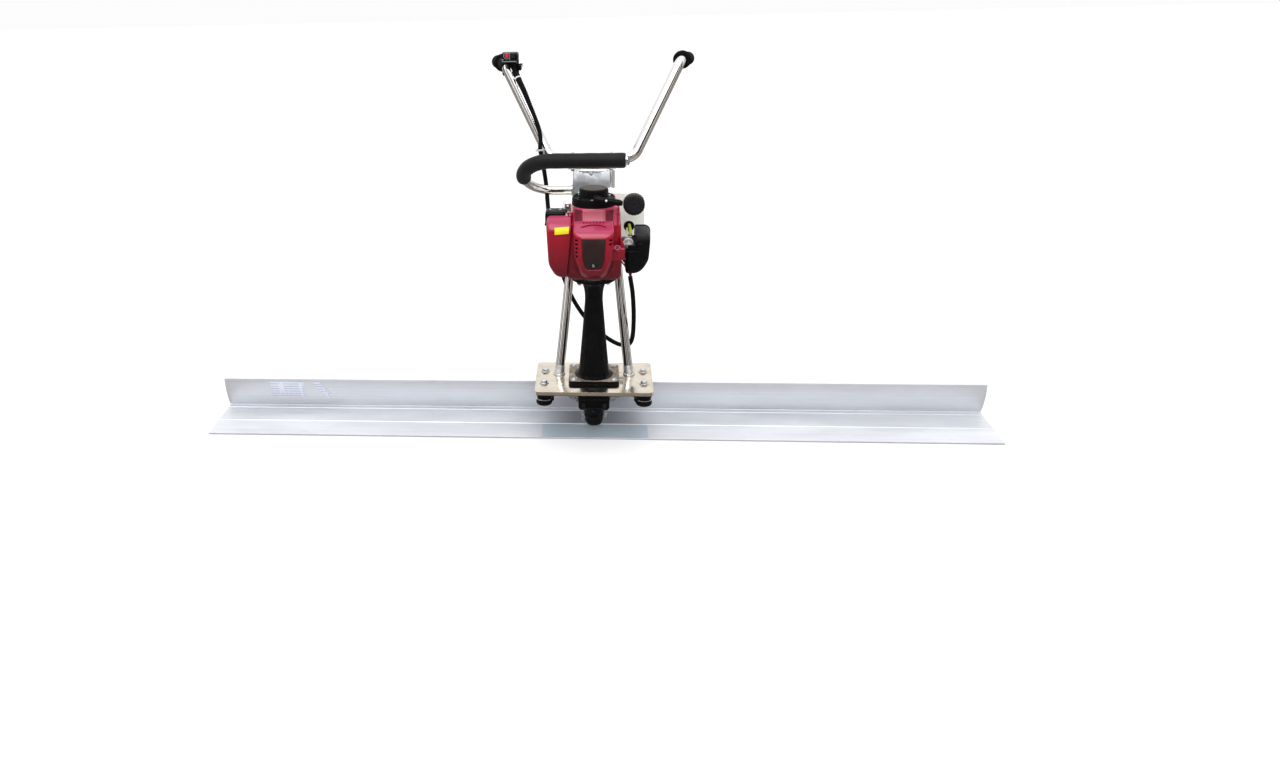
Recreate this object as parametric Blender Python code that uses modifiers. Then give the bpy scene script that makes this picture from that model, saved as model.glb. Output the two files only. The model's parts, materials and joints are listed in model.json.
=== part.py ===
"""A petrol power screed: an aluminium blade, a sprung exciter head, a small engine and a handlebar.

Sizes in this file are millimetres. The helpers turn them into metres.
The origin is on the ground under the vertical drive axis. +X runs along the blade, +Y points to
the operator's side and +Z is up.
"""

import math

import bmesh
import bpy
from mathutils import Vector

MM = 0.001
GAP = 0.3                      # clearance between neighbouring solids
MERGE = 0.00001                # weld distance in metres

# Driving sizes
BLADE_LENGTH = 1830.0
BLADE_FRONT_Y = -75.0
DECK_THICK = 4.0
UPRIGHT_TOP_Z = 86.0
UPRIGHT_TOP_Y = 64.5
UPRIGHT_RADIUS = 140.0
UPRIGHT_THICK = 3.5

PLATE_X, PLATE_Y, PLATE_THICK = 270.0, 182.0, 8.4
PLATE_TOP = 124.0
PLATE_BOTTOM = PLATE_TOP - PLATE_THICK
ISOLATOR_X, ISOLATOR_Y, ISOLATOR_R = 115.0, 36.0, 18.5
ISOLATOR_BOTTOM = 72.0
BRACKET_LOW, BRACKET_HIGH = 82.0, 86.0
BLOCK_HALF = 36.0              # half width of the square exciter block
BLOCK_BOTTOM = 57.0
CLAMP_X = 75.0
CLAMP_AXIS_Z = 68.0

LEG_R = 10.5
LEG_LEAN = 0.38                # how far a leg moves towards the operator for each unit of height
LEG_FOOT_Y = 19.0
LEG_FOOT_X, LEG_TOP_X = 82.0, 39.0
HOUSING_TOP = 372.0
HOUSING_BORE_R = 15.0

HANDLE_X = -5.0                # the handlebar's centre
HANDLE_Y, HANDLE_Z = 200.0, 604.0
HANDLE_R = 12.5
GRIP_X, GRIP_Y, GRIP_Z = 212.0, 288.0, 822.0
GRIP_DIR = Vector((0.19, 0.98, -0.08)).normalized()

CYLINDER_Z = 458.0
CRANK_THROW = 14.0
PULL_Y, PULL_Z = -50.0, 563.0

BLACK = ("black_enamel", (0.012, 0.012, 0.013), 0.25, 0.0)
ALUMINIUM = ("blade_aluminium", (0.78, 0.79, 0.81), 0.32, 1.0)
STAINLESS = ("stainless_plate", (0.80, 0.74, 0.64), 0.25, 1.0)
CHROME = ("chromed_tube", (0.82, 0.82, 0.83), 0.08, 1.0)
ZINC = ("zinc_steel", (0.62, 0.63, 0.65), 0.35, 1.0)
CAST = ("cast_aluminium", (0.42, 0.43, 0.44), 0.5, 0.9)
RED = ("engine_red", (0.42, 0.010, 0.035), 0.28, 0.0)
RUBBER = ("rubber", (0.015, 0.015, 0.016), 0.7, 0.0)
FOAM = ("foam", (0.02, 0.02, 0.022), 0.85, 0.0)
PLASTIC = ("black_plastic", (0.02, 0.02, 0.021), 0.4, 0.0)
TANK = ("tank_plastic", (0.80, 0.80, 0.76), 0.35, 0.0)
SIGNAL = ("signal_red", (0.65, 0.02, 0.02), 0.3, 0.0)
CLEAR = ("clear_bulb", (0.75, 0.78, 0.74), 0.1, 0.0)


# ---------------------------------------------------------------- helpers

def clear_scene():
    """Removes whatever the file starts with and makes the two collections."""
    for obj in list(bpy.data.objects):
        bpy.data.objects.remove(obj, do_unlink=True)
    for name in ("power_screed", "cutters"):
        collection = bpy.data.collections.new(name)
        bpy.context.scene.collection.children.link(collection)


def material(finish):
    """The material of a finish, made once."""
    name, colour, roughness, metallic = finish
    found = bpy.data.materials.get(name)
    if found:
        return found
    made = bpy.data.materials.new(name)
    made.use_nodes = True
    shader = made.node_tree.nodes["Principled BSDF"]
    shader.inputs["Base Color"].default_value = (*colour, 1.0)
    shader.inputs["Roughness"].default_value = roughness
    shader.inputs["Metallic"].default_value = metallic
    return made


def add(name, data, finish):
    """Links an object into the model, or into the cutters when it has no finish."""
    obj = bpy.data.objects.new(name, data)
    if finish:
        bpy.data.collections["power_screed"].objects.link(obj)
        data.materials.append(material(finish))
    else:
        bpy.data.collections["cutters"].objects.link(obj)
        obj.hide_render = True
        obj.display_type = "WIRE"
    return obj


def from_bmesh(name, bm, finish):
    """Makes an object from a bmesh, with its faces pointing out."""
    bmesh.ops.recalc_face_normals(bm, faces=bm.faces)
    mesh = bpy.data.meshes.new(name)
    bm.to_mesh(mesh)
    bm.free()
    return add(name, mesh, finish)


def bevel(obj, width, segments=2, angle=40):
    """Rounds the edges sharper than an angle."""
    modifier = obj.modifiers.new("rounded", "BEVEL")
    modifier.width = width * MM
    modifier.segments = segments
    modifier.limit_method = "ANGLE"
    modifier.angle_limit = math.radians(angle)
    return obj


def block(name, low, high, finish, rounding=0.0, segments=2):
    """A box between two corners."""
    bm = bmesh.new()
    bmesh.ops.create_cube(bm, size=1.0)
    low, high = Vector(low) * MM, Vector(high) * MM
    bmesh.ops.scale(bm, vec=high - low, verts=bm.verts)
    bmesh.ops.translate(bm, vec=(low + high) / 2, verts=bm.verts)
    obj = from_bmesh(name, bm, finish)
    if rounding:
        bevel(obj, rounding, segments)
    return obj


def turned(name, profile, finish, origin=(0, 0, 0), axis=(0, 0, 1), steps=24, closed=False):
    """A profile of (radius, height) points turned about an axis, outer side from top to bottom."""
    bm = bmesh.new()
    points = [bm.verts.new((r * MM, 0, z * MM)) for r, z in profile]
    for a, b in zip(points, points[1:]):
        bm.edges.new((a, b))
    if closed:
        bm.edges.new((points[-1], points[0]))
    mesh = bpy.data.meshes.new(name)
    bm.to_mesh(mesh)
    bm.free()
    obj = add(name, mesh, finish)
    screw = obj.modifiers.new("turned", "SCREW")
    screw.steps = steps
    screw.render_steps = steps
    screw.use_merge_vertices = True
    screw.merge_threshold = MERGE
    screw.use_smooth_shade = True
    obj.location = Vector(origin) * MM
    obj.rotation_mode = "QUATERNION"
    obj.rotation_quaternion = Vector((0, 0, 1)).rotation_difference(Vector(axis))
    return obj


def rod(name, radius, start, end, finish, steps=16):
    """A plain cylinder between two points."""
    start, end = Vector(start), Vector(end)
    length = (end - start).length
    profile = [(0, length), (radius, length), (radius, 0), (0, 0)]
    return turned(name, profile, finish, start, end - start, steps)


def ring(name, inner, outer, low, high, finish, steps=20, origin=(0, 0, 0), axis=(0, 0, 1)):
    """A plain ring or washer between two heights on an axis."""
    profile = [(inner, high), (outer, high), (outer, low), (inner, low)]
    return turned(name, profile, finish, origin, axis, steps, closed=True)


def hexagon_bolt(name, x, y, z, head_r, shank_r, shank_length, finish):
    """A hexagon head that stands on a face at height z, with its shank below."""
    profile = [(0, 5), (head_r, 5), (head_r, GAP), (shank_r, GAP), (shank_r, -shank_length),
               (0, -shank_length)]
    return turned(name, profile, finish, (x, y, z), steps=6)


def arc(centre, radius, first, last, count):
    """Points on an arc in a plane, angles in degrees, both ends included."""
    points = []
    for i in range(count + 1):
        angle = math.radians(first + (last - first) * i / count)
        points.append((centre[0] + radius * math.cos(angle),
                       centre[1] + radius * math.sin(angle)))
    return points


def outline_curve(name, outlines, thickness):
    """A filled flat curve of one outline and any holes, with a thickness."""
    curve = bpy.data.curves.new(name, "CURVE")
    curve.dimensions = "2D"
    curve.fill_mode = "BOTH"
    curve.extrude = thickness * MM / 2
    for outline in outlines:
        spline = curve.splines.new("POLY")
        spline.points.add(len(outline) - 1)
        for point, (u, v) in zip(spline.points, outline):
            point.co = (u * MM, v * MM, 0, 1)
        spline.use_cyclic_u = True
    return curve


def plate(name, outlines, thickness, finish, centre, turn=(0, 0, 0)):
    """A flat plate from outlines in its own plane, centred on its thickness."""
    curve = outline_curve(name + "_outline", outlines, thickness)
    guide = bpy.data.objects.new(name + "_outline", curve)
    bpy.context.scene.collection.objects.link(guide)
    obj = welded_mesh(name, guide, finish)
    obj.location = Vector(centre) * MM
    obj.rotation_euler = [math.radians(a) for a in turn]
    return obj


def welded_mesh(name, guide, finish):
    """A mesh object made from a curve object, with its caps welded on. The curve is removed."""
    graph = bpy.context.evaluated_depsgraph_get()
    mesh = bpy.data.meshes.new_from_object(guide.evaluated_get(graph))
    place = guide.matrix_world.copy()
    bpy.data.objects.remove(guide, do_unlink=True)
    bm = bmesh.new()
    bm.from_mesh(mesh)
    bmesh.ops.remove_doubles(bm, verts=bm.verts, dist=MERGE)
    bmesh.ops.recalc_face_normals(bm, faces=bm.faces)
    mesh.clear_geometry()
    bm.to_mesh(mesh)
    bm.free()
    mesh.name = name
    mesh.materials.clear()
    obj = add(name, mesh, finish)
    obj.matrix_world = place
    return obj


def rounded_path(corners, radius, count):
    """A polyline whose inner corners are replaced by arcs."""
    corners = [Vector(c) for c in corners]
    path = [corners[0]]
    for before, corner, after in zip(corners, corners[1:], corners[2:]):
        a = (before - corner).normalized()
        b = (after - corner).normalized()
        half = a.angle(b) / 2
        reach = radius / math.tan(half)
        centre = corner + (a + b).normalized() * radius / math.sin(half)
        start = corner + a * reach - centre
        end = corner + b * reach - centre
        sweep = start.angle(end)
        for i in range(count + 1):
            t = i / count
            point = (start * math.sin((1 - t) * sweep) + end * math.sin(t * sweep))
            path.append(centre + point / math.sin(sweep))
    path.append(corners[-1])
    return path


def tube(name, path, radius, finish, wall=0.0, sides=12):
    """A round tube along a path of points, solid or with open ends and a wall."""
    curve = bpy.data.curves.new(name, "CURVE")
    curve.dimensions = "3D"
    curve.bevel_depth = radius * MM
    curve.bevel_resolution = (sides - 4) // 2
    curve.use_fill_caps = wall == 0.0
    spline = curve.splines.new("POLY")
    spline.points.add(len(path) - 1)
    for point, place in zip(spline.points, path):
        point.co = (*(Vector(place) * MM), 1)
    guide = bpy.data.objects.new(name + "_path", curve)
    bpy.context.scene.collection.objects.link(guide)
    obj = welded_mesh(name, guide, finish)
    if wall:
        shell = obj.modifiers.new("wall", "SOLIDIFY")
        shell.thickness = wall * MM
        shell.offset = -1.0
    return obj


def boolean(obj, cutter, operation):
    """Cuts an object with a cutter, or joins the cutter to it."""
    modifier = obj.modifiers.new(cutter.name, "BOOLEAN")
    modifier.operation = operation
    modifier.object = cutter


def cut(obj, *cutters):
    """Cuts an object with each of the cutters."""
    for cutter in cutters:
        boolean(obj, cutter, "DIFFERENCE")


def join(obj, *pieces):
    """Joins each of the pieces to an object."""
    for piece in pieces:
        boolean(obj, piece, "UNION")


def leg_y(z):
    """Where the legs' plane is at a height."""
    return LEG_FOOT_Y + LEG_LEAN * (z - PLATE_TOP)


def sides():
    """The two sides of the machine, as names and signs."""
    return (("left", -1), ("right", 1))


def corners():
    """The four corners of a rectangle about the drive axis, as names and signs."""
    return (("front_left", -1, -1), ("front_right", 1, -1),
            ("rear_left", -1, 1), ("rear_right", 1, 1))


# ---------------------------------------------------------------- blade

def upright_y(z, offset=0.0):
    """The upright's face towards the deck at a height, or a parallel face behind it."""
    centre_y = UPRIGHT_TOP_Y + UPRIGHT_RADIUS
    radius = UPRIGHT_RADIUS - offset
    return centre_y - math.sqrt(radius ** 2 - (UPRIGHT_TOP_Z - 1 - z) ** 2)


def blade_outline():
    """The extrusion's section: a flat deck with a bead and an upright that leans over it."""
    count = 9
    step_y, step_height = 74.0, 1.2
    bead_r = 2.4
    bead_z = DECK_THICK - 1.0
    face, back = [], []
    for i in range(count + 1):
        z = DECK_THICK + step_height + (UPRIGHT_TOP_Z - 1.5 - DECK_THICK - step_height) * i / count
        face.append((upright_y(z), z))
    for i in range(count + 1):
        z = (UPRIGHT_TOP_Z - 1.5) * (1 - i / count)
        back.append((upright_y(z, UPRIGHT_THICK), z))
    top = UPRIGHT_TOP_Z
    lip = [(upright_y(top - 1) + 0.9, top), (upright_y(top - 1, UPRIGHT_THICK) - 0.9, top)]
    bead = arc((0, bead_z), bead_r, 155, 25, 6)
    deck = [(BLADE_FRONT_Y, 0.5), (BLADE_FRONT_Y, DECK_THICK - 0.6),
            (BLADE_FRONT_Y + 0.6, DECK_THICK)]
    step = [(step_y - 0.6, DECK_THICK), (step_y + 0.6, DECK_THICK + step_height)]
    return deck + bead + step + face + lip + back + [(BLADE_FRONT_Y + 0.5, 0)]


def make_blade():
    """The screed blade, one extrusion along X."""
    plate("screed_blade", [blade_outline()], BLADE_LENGTH, ALUMINIUM, (0, 0, 0), (90, 0, 90))


# ---------------------------------------------------------------- exciter and its bracket

def make_lower_bracket():
    """The bracket's sheet with its ears, holes and jaw lugs, around the exciter block."""
    thick = BRACKET_HIGH - BRACKET_LOW
    mid = (BRACKET_HIGH + BRACKET_LOW) / 2
    ear_r = 15.0
    bar = block("lower_bracket", (-94, -16, BRACKET_LOW), (94, 63.9, BRACKET_HIGH), BLACK)
    for name, sx, sy in corners():
        ear = rod("ear_" + name, ear_r, (sx * ISOLATOR_X, sy * ISOLATOR_Y, BRACKET_LOW),
                  (sx * ISOLATOR_X, sy * ISOLATOR_Y, BRACKET_HIGH), None, 16)
        join(bar, ear)
    for name, s in sides():
        arm = block("arm_" + name, (s * 104 - 14, -ISOLATOR_Y - 10, BRACKET_LOW),
                    (s * 104 + 14, ISOLATOR_Y + 10, BRACKET_HIGH), None)
        lug = block("lug_" + name, (s * CLAMP_X - 13, 40, 60), (s * CLAMP_X + 13, 63.9, mid), None)
        join(bar, arm, lug)
    hole_r = 7.6
    for name, sx, sy in corners():
        hole = rod("ear_hole_" + name, hole_r, (sx * ISOLATOR_X, sy * ISOLATOR_Y, mid - thick),
                   (sx * ISOLATOR_X, sy * ISOLATOR_Y, mid + thick), None, 12)
        cut(bar, hole)
    opening = BLOCK_HALF + GAP
    cut(bar, block("block_opening", (-opening, -opening, 70), (opening, opening, 100), None))


def make_exciter():
    """The exciter block with its tapered lower barrel, bearings, cap and spinning weight."""
    housing = block("exciter_housing", (-BLOCK_HALF, -BLOCK_HALF, BLOCK_BOTTOM),
                    (BLOCK_HALF, BLOCK_HALF, 112), BLACK, 4)
    barrel = turned("exciter_barrel", [(0, 70), (24, 70), (22.5, 34), (21, 20), (19, 11),
                                       (15, 7.5), (0, 7.5)], None, steps=20)
    bore = turned("exciter_bore", [(0, 113), (25.3, 113), (25.3, 60), (13.3, 60), (13.3, 14),
                                   (0, 14)], None, steps=20)
    join(housing, barrel)
    cut(housing, bore)
    ring("exciter_end_cap", 15.3, 25.0, 86, 104, CAST)
    ring("upper_bearing", 7.8, 15.0, 88, 99, ZINC, steps=16)
    ring("lower_bearing", 7.8, 13.0, 16, 27, ZINC, steps=16)
    turned("eccentric_shaft", [(0, 107), (7.5, 107), (7.5, 16), (0, 16)], ZINC, steps=12)
    weight = ring("eccentric_weight", 7.8, 23.0, 62, 84, CAST, steps=20)
    cut(weight, block("weight_relief", (-30, 4, 55), (30, 30, 90), None))


def make_saddle():
    """The cast saddle that straddles the exciter and stands on the deck behind it."""
    half = [(62, BRACKET_LOW - GAP), (62, 71), (38, 55), (33, 52), (31, 26),
            (27, DECK_THICK + GAP)]
    outline = half + [(-x, z) for x, z in reversed(half)]
    saddle = plate("exciter_saddle", [outline], 46, CAST, (0, 29, 0), (90, 0, 0))
    clear = BLOCK_HALF + GAP
    cut(saddle,
        block("saddle_block_cut", (-clear, -clear, BLOCK_BOTTOM - GAP), (clear, clear, 100), None),
        turned("saddle_barrel_cut", [(0, 90), (24.5, 90), (23.0, 34), (21.5, 20), (19.5, 11),
                                     (15, 2), (0, 2)], None, steps=20))
    for name, s in sides():
        cut(saddle, block("saddle_lug_cut_" + name, (s * CLAMP_X - 13 - GAP, 39.7, 50),
                          (s * CLAMP_X + 13 + GAP, 70, 90), None))


def make_clamps():
    """The two screw clamps that pull the bracket's lugs against the blade's upright."""
    for name, s in sides():
        x = s * CLAMP_X
        arm_low = UPRIGHT_TOP_Z + GAP
        outline = [(28, arm_low), (84, arm_low), (84, 50), (98, 50), (98, arm_low + 8),
                   (90, arm_low + 14), (28, arm_low + 14)]
        jaw = plate("clamp_jaw_" + name, [outline], 26, BLACK, (x, 0, 0), (90, 0, 90))
        cut(jaw, rod("jaw_bore_" + name, 5.4, (x, 70, CLAMP_AXIS_Z), (x, 110, CLAMP_AXIS_Z),
                     None, 12))
        rod("clamp_pad_" + name, 10, (x, 71.6, CLAMP_AXIS_Z), (x, 75.6, CLAMP_AXIS_Z), ZINC, 16)
        knob = turned("clamp_knob_" + name, [(0, 58), (15, 58), (21, 55), (21, 44), (9, 40),
                                             (9, 32), (5, 32), (5, 0), (0, 0)], PLASTIC,
                      (x, 75.9, CLAMP_AXIS_Z), (0, 1, 0), steps=20)
        for i in range(5):
            angle = math.radians(72 * i)
            place = (x + 24 * math.cos(angle), 0, CLAMP_AXIS_Z + 24 * math.sin(angle))
            cut(knob, rod(f"knob_flute_{name}_{i}", 7, (place[0], 112, place[2]),
                          (place[0], 140, place[2]), None, 8))


# ---------------------------------------------------------------- base plate and isolators

def make_base_plate():
    """The stainless plate that carries the engine, on four rubber isolators."""
    half_x, half_y, corner = PLATE_X / 2, PLATE_Y / 2, 12.0
    outline = []
    for sx, sy, first in ((1, 1, 0), (-1, 1, 90), (-1, -1, 180), (1, -1, 270)):
        outline += arc((sx * (half_x - corner), sy * (half_y - corner)), corner,
                       first, first + 90, 5)
    holes = [arc((0, 0), 20, 0, 360, 20)[:-1]]
    for _, sx, sy in corners():
        holes.append(arc((sx * ISOLATOR_X, sy * ISOLATOR_Y), 4.4, 0, 360, 8)[:-1])
    base = plate("base_plate", [outline] + holes, PLATE_THICK, STAINLESS,
                 (0, 0, PLATE_TOP - PLATE_THICK / 2))
    bevel(base, 1.2, 1, 60)


def make_isolators():
    """Rubber isolators, each with a groove for the bracket's ear, and their bolts."""
    r = ISOLATOR_R
    top = PLATE_BOTTOM - GAP
    groove_high, groove_low = BRACKET_HIGH + GAP, BRACKET_LOW - GAP
    profile = [(4.6, top), (r, top), (r, 94), (r - 3, groove_high), (7.2, groove_high),
               (7.2, groove_low), (r, groove_low), (r, ISOLATOR_BOTTOM + 3),
               (r - 3, ISOLATOR_BOTTOM), (4.6, ISOLATOR_BOTTOM)]
    for name, sx, sy in corners():
        x, y = sx * ISOLATOR_X, sy * ISOLATOR_Y
        turned("isolator_" + name, profile, RUBBER, (x, y, 0), steps=12, closed=True)
        hexagon_bolt("isolator_bolt_" + name, x, y, PLATE_TOP, 7.5, 4.0, 46, ZINC)


# ---------------------------------------------------------------- shaft housing and drive

def make_shaft_housing():
    """The tapered cast housing of the drive shaft, with a square foot and a round top flange."""
    foot = 58.0
    low = PLATE_TOP + GAP
    outer = [(50, HOUSING_TOP), (50, HOUSING_TOP - 6), (30, HOUSING_TOP - 9), (24, 352),
             (20.5, 334), (19.8, 318), (37.5, low + 12), (37.5, low)]
    profile = outer + [(HOUSING_BORE_R, low), (HOUSING_BORE_R, HOUSING_TOP)]
    housing = turned("shaft_housing", profile, BLACK, steps=28, closed=True)
    flange = block("housing_foot", (-foot, -foot + 8, low), (foot, foot, low + 9), None, 8, 3)
    cut(flange, rod("foot_bore", 25, (0, 0, 100), (0, 0, 160), None, 20))
    join(housing, flange)


def make_drive():
    """The drive shaft with its clutch drum, and the rubber coupling at its lower end."""
    turned("drive_shaft", [(0, 381), (31, 381), (31, 397), (35, 397), (35, 377), (6, 377),
                           (6, 112), (0, 112)], ZINC, steps=20)
    turned("flexible_coupling", [(6.3, 134), (13, 134), (13, 126), (14, 104.5), (8.1, 104.5),
                                 (8.1, 111.5), (6.3, 111.5)], RUBBER, steps=16, closed=True)


# ---------------------------------------------------------------- legs and handles

def make_legs():
    """The two chromed legs that rise from the plate and lean towards the operator."""
    stations = (PLATE_TOP + 4.6, 220.0, 309.0, 420.0, 532.0, 575.0)
    for name, s in sides():
        path = []
        for z in stations:
            t = (z - PLATE_TOP) / (532.0 - PLATE_TOP)
            spread = LEG_FOOT_X + (LEG_TOP_X - LEG_FOOT_X) * min(1.0, t) ** 0.92
            path.append((s * spread, leg_y(z), z))
        tube("leg_" + name, path, LEG_R, CHROME, wall=1.8, sides=10)


def make_head():
    """The sheet between the legs, and the block that clamps the handlebar."""
    low_z, high_z = 509.0, 577.0
    tilt = math.degrees(math.atan(LEG_LEAN))
    length = (high_z - low_z) / math.cos(math.radians(tilt))
    mid_z = (low_z + high_z) / 2
    offset = LEG_R + GAP + 2.0
    centre = (-5.5, leg_y(mid_z) - offset / math.cos(math.radians(tilt)), mid_z)
    half_x, half_z = 44.5, length / 2
    outline = [(-half_x, -half_z), (half_x, -half_z), (half_x, half_z), (-half_x, half_z)]
    plate("head_plate", [outline], 4, ZINC, centre, (90 - tilt, 0, 0))
    block_low = 580.0
    clamp = block("handlebar_clamp", (HANDLE_X - 57, HANDLE_Y - 19, block_low),
                  (HANDLE_X + 57, HANDLE_Y + 19, 612), CHROME, 5, 2)
    cut(clamp, rod("clamp_bore", HANDLE_R + GAP, (HANDLE_X - 80, HANDLE_Y, HANDLE_Z),
                   (HANDLE_X + 80, HANDLE_Y, HANDLE_Z), None, 16))
    cut(clamp, block("clamp_mouth", (HANDLE_X - 70, HANDLE_Y - HANDLE_R - GAP, HANDLE_Z),
                     (HANDLE_X + 70, HANDLE_Y + HANDLE_R + GAP, 640), None))


def lift_loop(first_x, last_x, count):
    """The lift handle's centre line: a rear branch, a half-circle bend and a front branch."""
    rear = Vector((0, 174, 532))
    front = Vector((0, 67, 624))
    bend_x = -93.0
    centre = (rear + front) / 2 + Vector((bend_x, 0, 0))
    across = (rear - front) / 2
    radius = across.length
    path = [rear + Vector((first_x, 0, 0))] if first_x is not None else []
    for i in range(count + 1):
        angle = math.pi * i / count
        path.append(centre + across * math.cos(angle) + Vector((-radius * math.sin(angle), 0, 0)))
    path.append(front + Vector((last_x, 0, 0)))
    return path


def make_lift_handle():
    """The looped lift handle and the foam sleeve on it."""
    path = lift_loop(-51.0, 77.0, 10)
    tube("lift_handle", path, 10.5, CHROME, wall=2.0, sides=10)
    sleeve = lift_loop(None, 71.0, 10)[2:]
    tube("foam_sleeve", sleeve, 17.0, FOAM, wall=5.8, sides=12)


def grip_point(side, along):
    """A point on a grip's axis, a distance behind the handlebar's upper corner."""
    direction = Vector((side * GRIP_DIR.x, GRIP_DIR.y, GRIP_DIR.z))
    return Vector((HANDLE_X + side * GRIP_X, GRIP_Y, GRIP_Z)) + direction * along


def make_handlebar():
    """The V-shaped handlebar with its two grips."""
    lower_x = 99.0
    ends = [grip_point(s, 132) for s in (-1, 1)]
    tops = [grip_point(s, 0) for s in (-1, 1)]
    bends = [Vector((HANDLE_X + s * lower_x, HANDLE_Y, HANDLE_Z)) for s in (-1, 1)]
    path = rounded_path([ends[0], tops[0], bends[0], bends[1], tops[1], ends[1]], 32, 4)
    tube("handlebar", path, HANDLE_R, CHROME, wall=2.0, sides=12)
    profile = [(HANDLE_R + GAP, 30), (20, 30), (20, 35), (16, 39), (15.5, 139), (13, 142),
               (0, 142), (0, 136), (HANDLE_R + GAP, 136)]
    for name, s in (("grip_throttle_side", -1), ("grip_plain_side", 1)):
        direction = grip_point(s, 1) - grip_point(s, 0)
        turned(name, [(r, -z) for r, z in profile], RUBBER, grip_point(s, 0), -direction, 16,
               closed=True)


def make_controls():
    """The switch box on the left grip with its lever and stop button."""
    low = Vector((-221, 250, 792))
    high = Vector((-181, 292, 848))
    box = block("switch_box", low, high, PLASTIC, 3, 1)
    bar = rounded_path([grip_point(-1, 135), grip_point(-1, 0),
                        (HANDLE_X - 99, HANDLE_Y, HANDLE_Z), (HANDLE_X, HANDLE_Y, HANDLE_Z)],
                       32, 4)
    cut(box, tube("switch_box_bore", bar, HANDLE_R + 0.5, None, sides=12))
    button = (-207, low.y, 837)
    cut(box, rod("stop_well", 6.0, (button[0], low.y - 5, button[2]),
                 (button[0], low.y + 9, button[2]), None, 12))
    rod("stop_switch", 5.7, (button[0], low.y - 3, button[2]), (button[0], low.y + 5, button[2]),
        SIGNAL, 12)
    pivot = Vector((high.x + GAP, 266, 814))
    lever = rod("throttle_lever", 8, pivot, pivot + Vector((7, 0, 0)), PLASTIC, 12)
    join(lever, block("lever_blade", pivot + Vector((1, 0, -4)), pivot + Vector((6, 58, 4)), None))


# ---------------------------------------------------------------- engine

def make_crankcase():
    """The crankcase: a clutch bell on the housing's flange, and the block above it."""
    low = HOUSING_TOP + GAP
    case = turned("crankcase", [(0, 505), (40, 505), (40, 410), (46, 400), (46, low), (38, low),
                                (38, 400), (0, 400)], CAST, steps=24)
    web_room = 20
    cut(case, rod("crank_bore", 8.4, (0, 0, 390), (0, 0, 520), None, 16),
        rod("crank_room", 31, (0, 0, CYLINDER_Z - web_room), (0, 0, CYLINDER_Z + web_room),
            None, 20),
        rod("barrel_seat", 24, (0, -60, CYLINDER_Z), (0, 0, CYLINDER_Z), None, 20))


def make_cylinder():
    """The finned cylinder, which points away from the operator, with its piston."""
    fins = []
    pitch, fin_r, root_r = 15.0, 33.0, 26.0
    for i in range(4):
        start = 40 + GAP + i * pitch
        fins += [(fin_r, start + 0.5), (fin_r, start + 5), (root_r, start + 6)]
        if i < 3:
            fins.append((root_r, start + pitch - 0.5))
    profile = [(19.3, 28), (23.5, 28), (23.5, 40 + GAP)] + fins + [(24, 104), (0, 104),
                                                                    (0, 96), (19.3, 96)]
    turned("cylinder", [(r, -y) for r, y in profile], CAST, (0, 0, CYLINDER_Z), (0, 1, 0), 16,
           closed=True)
    turned("piston", [(0, -43), (8, -43), (8, -48), (19.2, -48), (19.2, -76), (0, -76)],
           ZINC, (0, 0, CYLINDER_Z), (0, 1, 0), 16)


def make_crank():
    """The crankshaft, the fan flywheel above it and the clutch shoes below it."""
    z = CYLINDER_Z
    shaft = rod("crankshaft", 8.0, (0, 0, 400.6), (0, 0, z - 7), ZINC, 16)
    upper = rod("crank_upper", 8.0, (0, 0, z + 7), (0, 0, 545), None, 16)
    webs = [block("web_low", (-11, -25, z - 16), (11, 22, z - 6), None),
            block("web_high", (-11, -25, z + 6), (11, 22, z + 16), None)]
    pin = rod("crank_pin", 7, (0, -CRANK_THROW, z - 10), (0, -CRANK_THROW, z + 10), None, 12)
    neck = rod("crank_nose", 6.0, (0, 0, 382), (0, 0, 402), None, 12)
    join(shaft, webs[0], webs[1], upper, pin, neck)
    turned("flywheel", [(8.3, 522), (14, 522), (14, 518), (42, 518), (42, 508), (8.3, 508)], CAST,
           steps=24, closed=True)
    shoes = ring("clutch_shoes", 6.3, 30.0, 384, 396, CAST, steps=20)
    cut(shoes, block("shoe_slot", (-1.5, -40, 380), (1.5, -9, 400), None),
        block("shoe_slot_back", (-1.5, 9, 380), (1.5, 40, 400), None))


def make_shroud():
    """The red engine shroud, an open-backed shell, and the red cover on its front."""
    low_x, high_x, low_z, high_z = -53.0, 60.0, 382.0, 533.0
    front, back = -72.0, 20.0
    bm = bmesh.new()
    bmesh.ops.create_cube(bm, size=1.0)
    size = Vector((high_x - low_x, back - front, high_z - low_z)) * MM
    centre = Vector((low_x + high_x, front + back, low_z + high_z)) * MM / 2
    bmesh.ops.scale(bm, vec=size, verts=bm.verts)
    bmesh.ops.translate(bm, vec=centre, verts=bm.verts)
    gone = [f for f in bm.faces if f.normal.y > 0.9 or f.normal.z < -0.9]
    bmesh.ops.delete(bm, geom=gone, context="FACES")
    inner = [e for e in bm.edges if len(e.link_faces) == 2]
    bmesh.ops.bevel(bm, geom=inner, offset=13 * MM, segments=3, profile=0.5, affect="EDGES")
    shroud = from_bmesh("engine_shroud", bm, RED)
    wall = shroud.modifiers.new("wall", "SOLIDIFY")
    wall.thickness = 2.4 * MM
    wall.offset = -1.0
    cut(shroud, rod("fan_inlet", 30, (0, 0, high_z - 8), (0, 0, high_z + 8), None, 20),
        block("cylinder_opening", (-39, front - 10, 415), (39, front + 10, 508), None))
    cover = block("top_cover", (-44, -128, 402), (44, front - GAP, 518), RED)
    for vertex in cover.data.vertices:
        if vertex.co.y < -0.1 and vertex.co.z < 0.45:
            vertex.co.y += 8 * MM
    bevel(cover, 12, 3)
    cut(cover, block("cover_room", (-38, -112, 412), (38, -60, 509), None))


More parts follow.
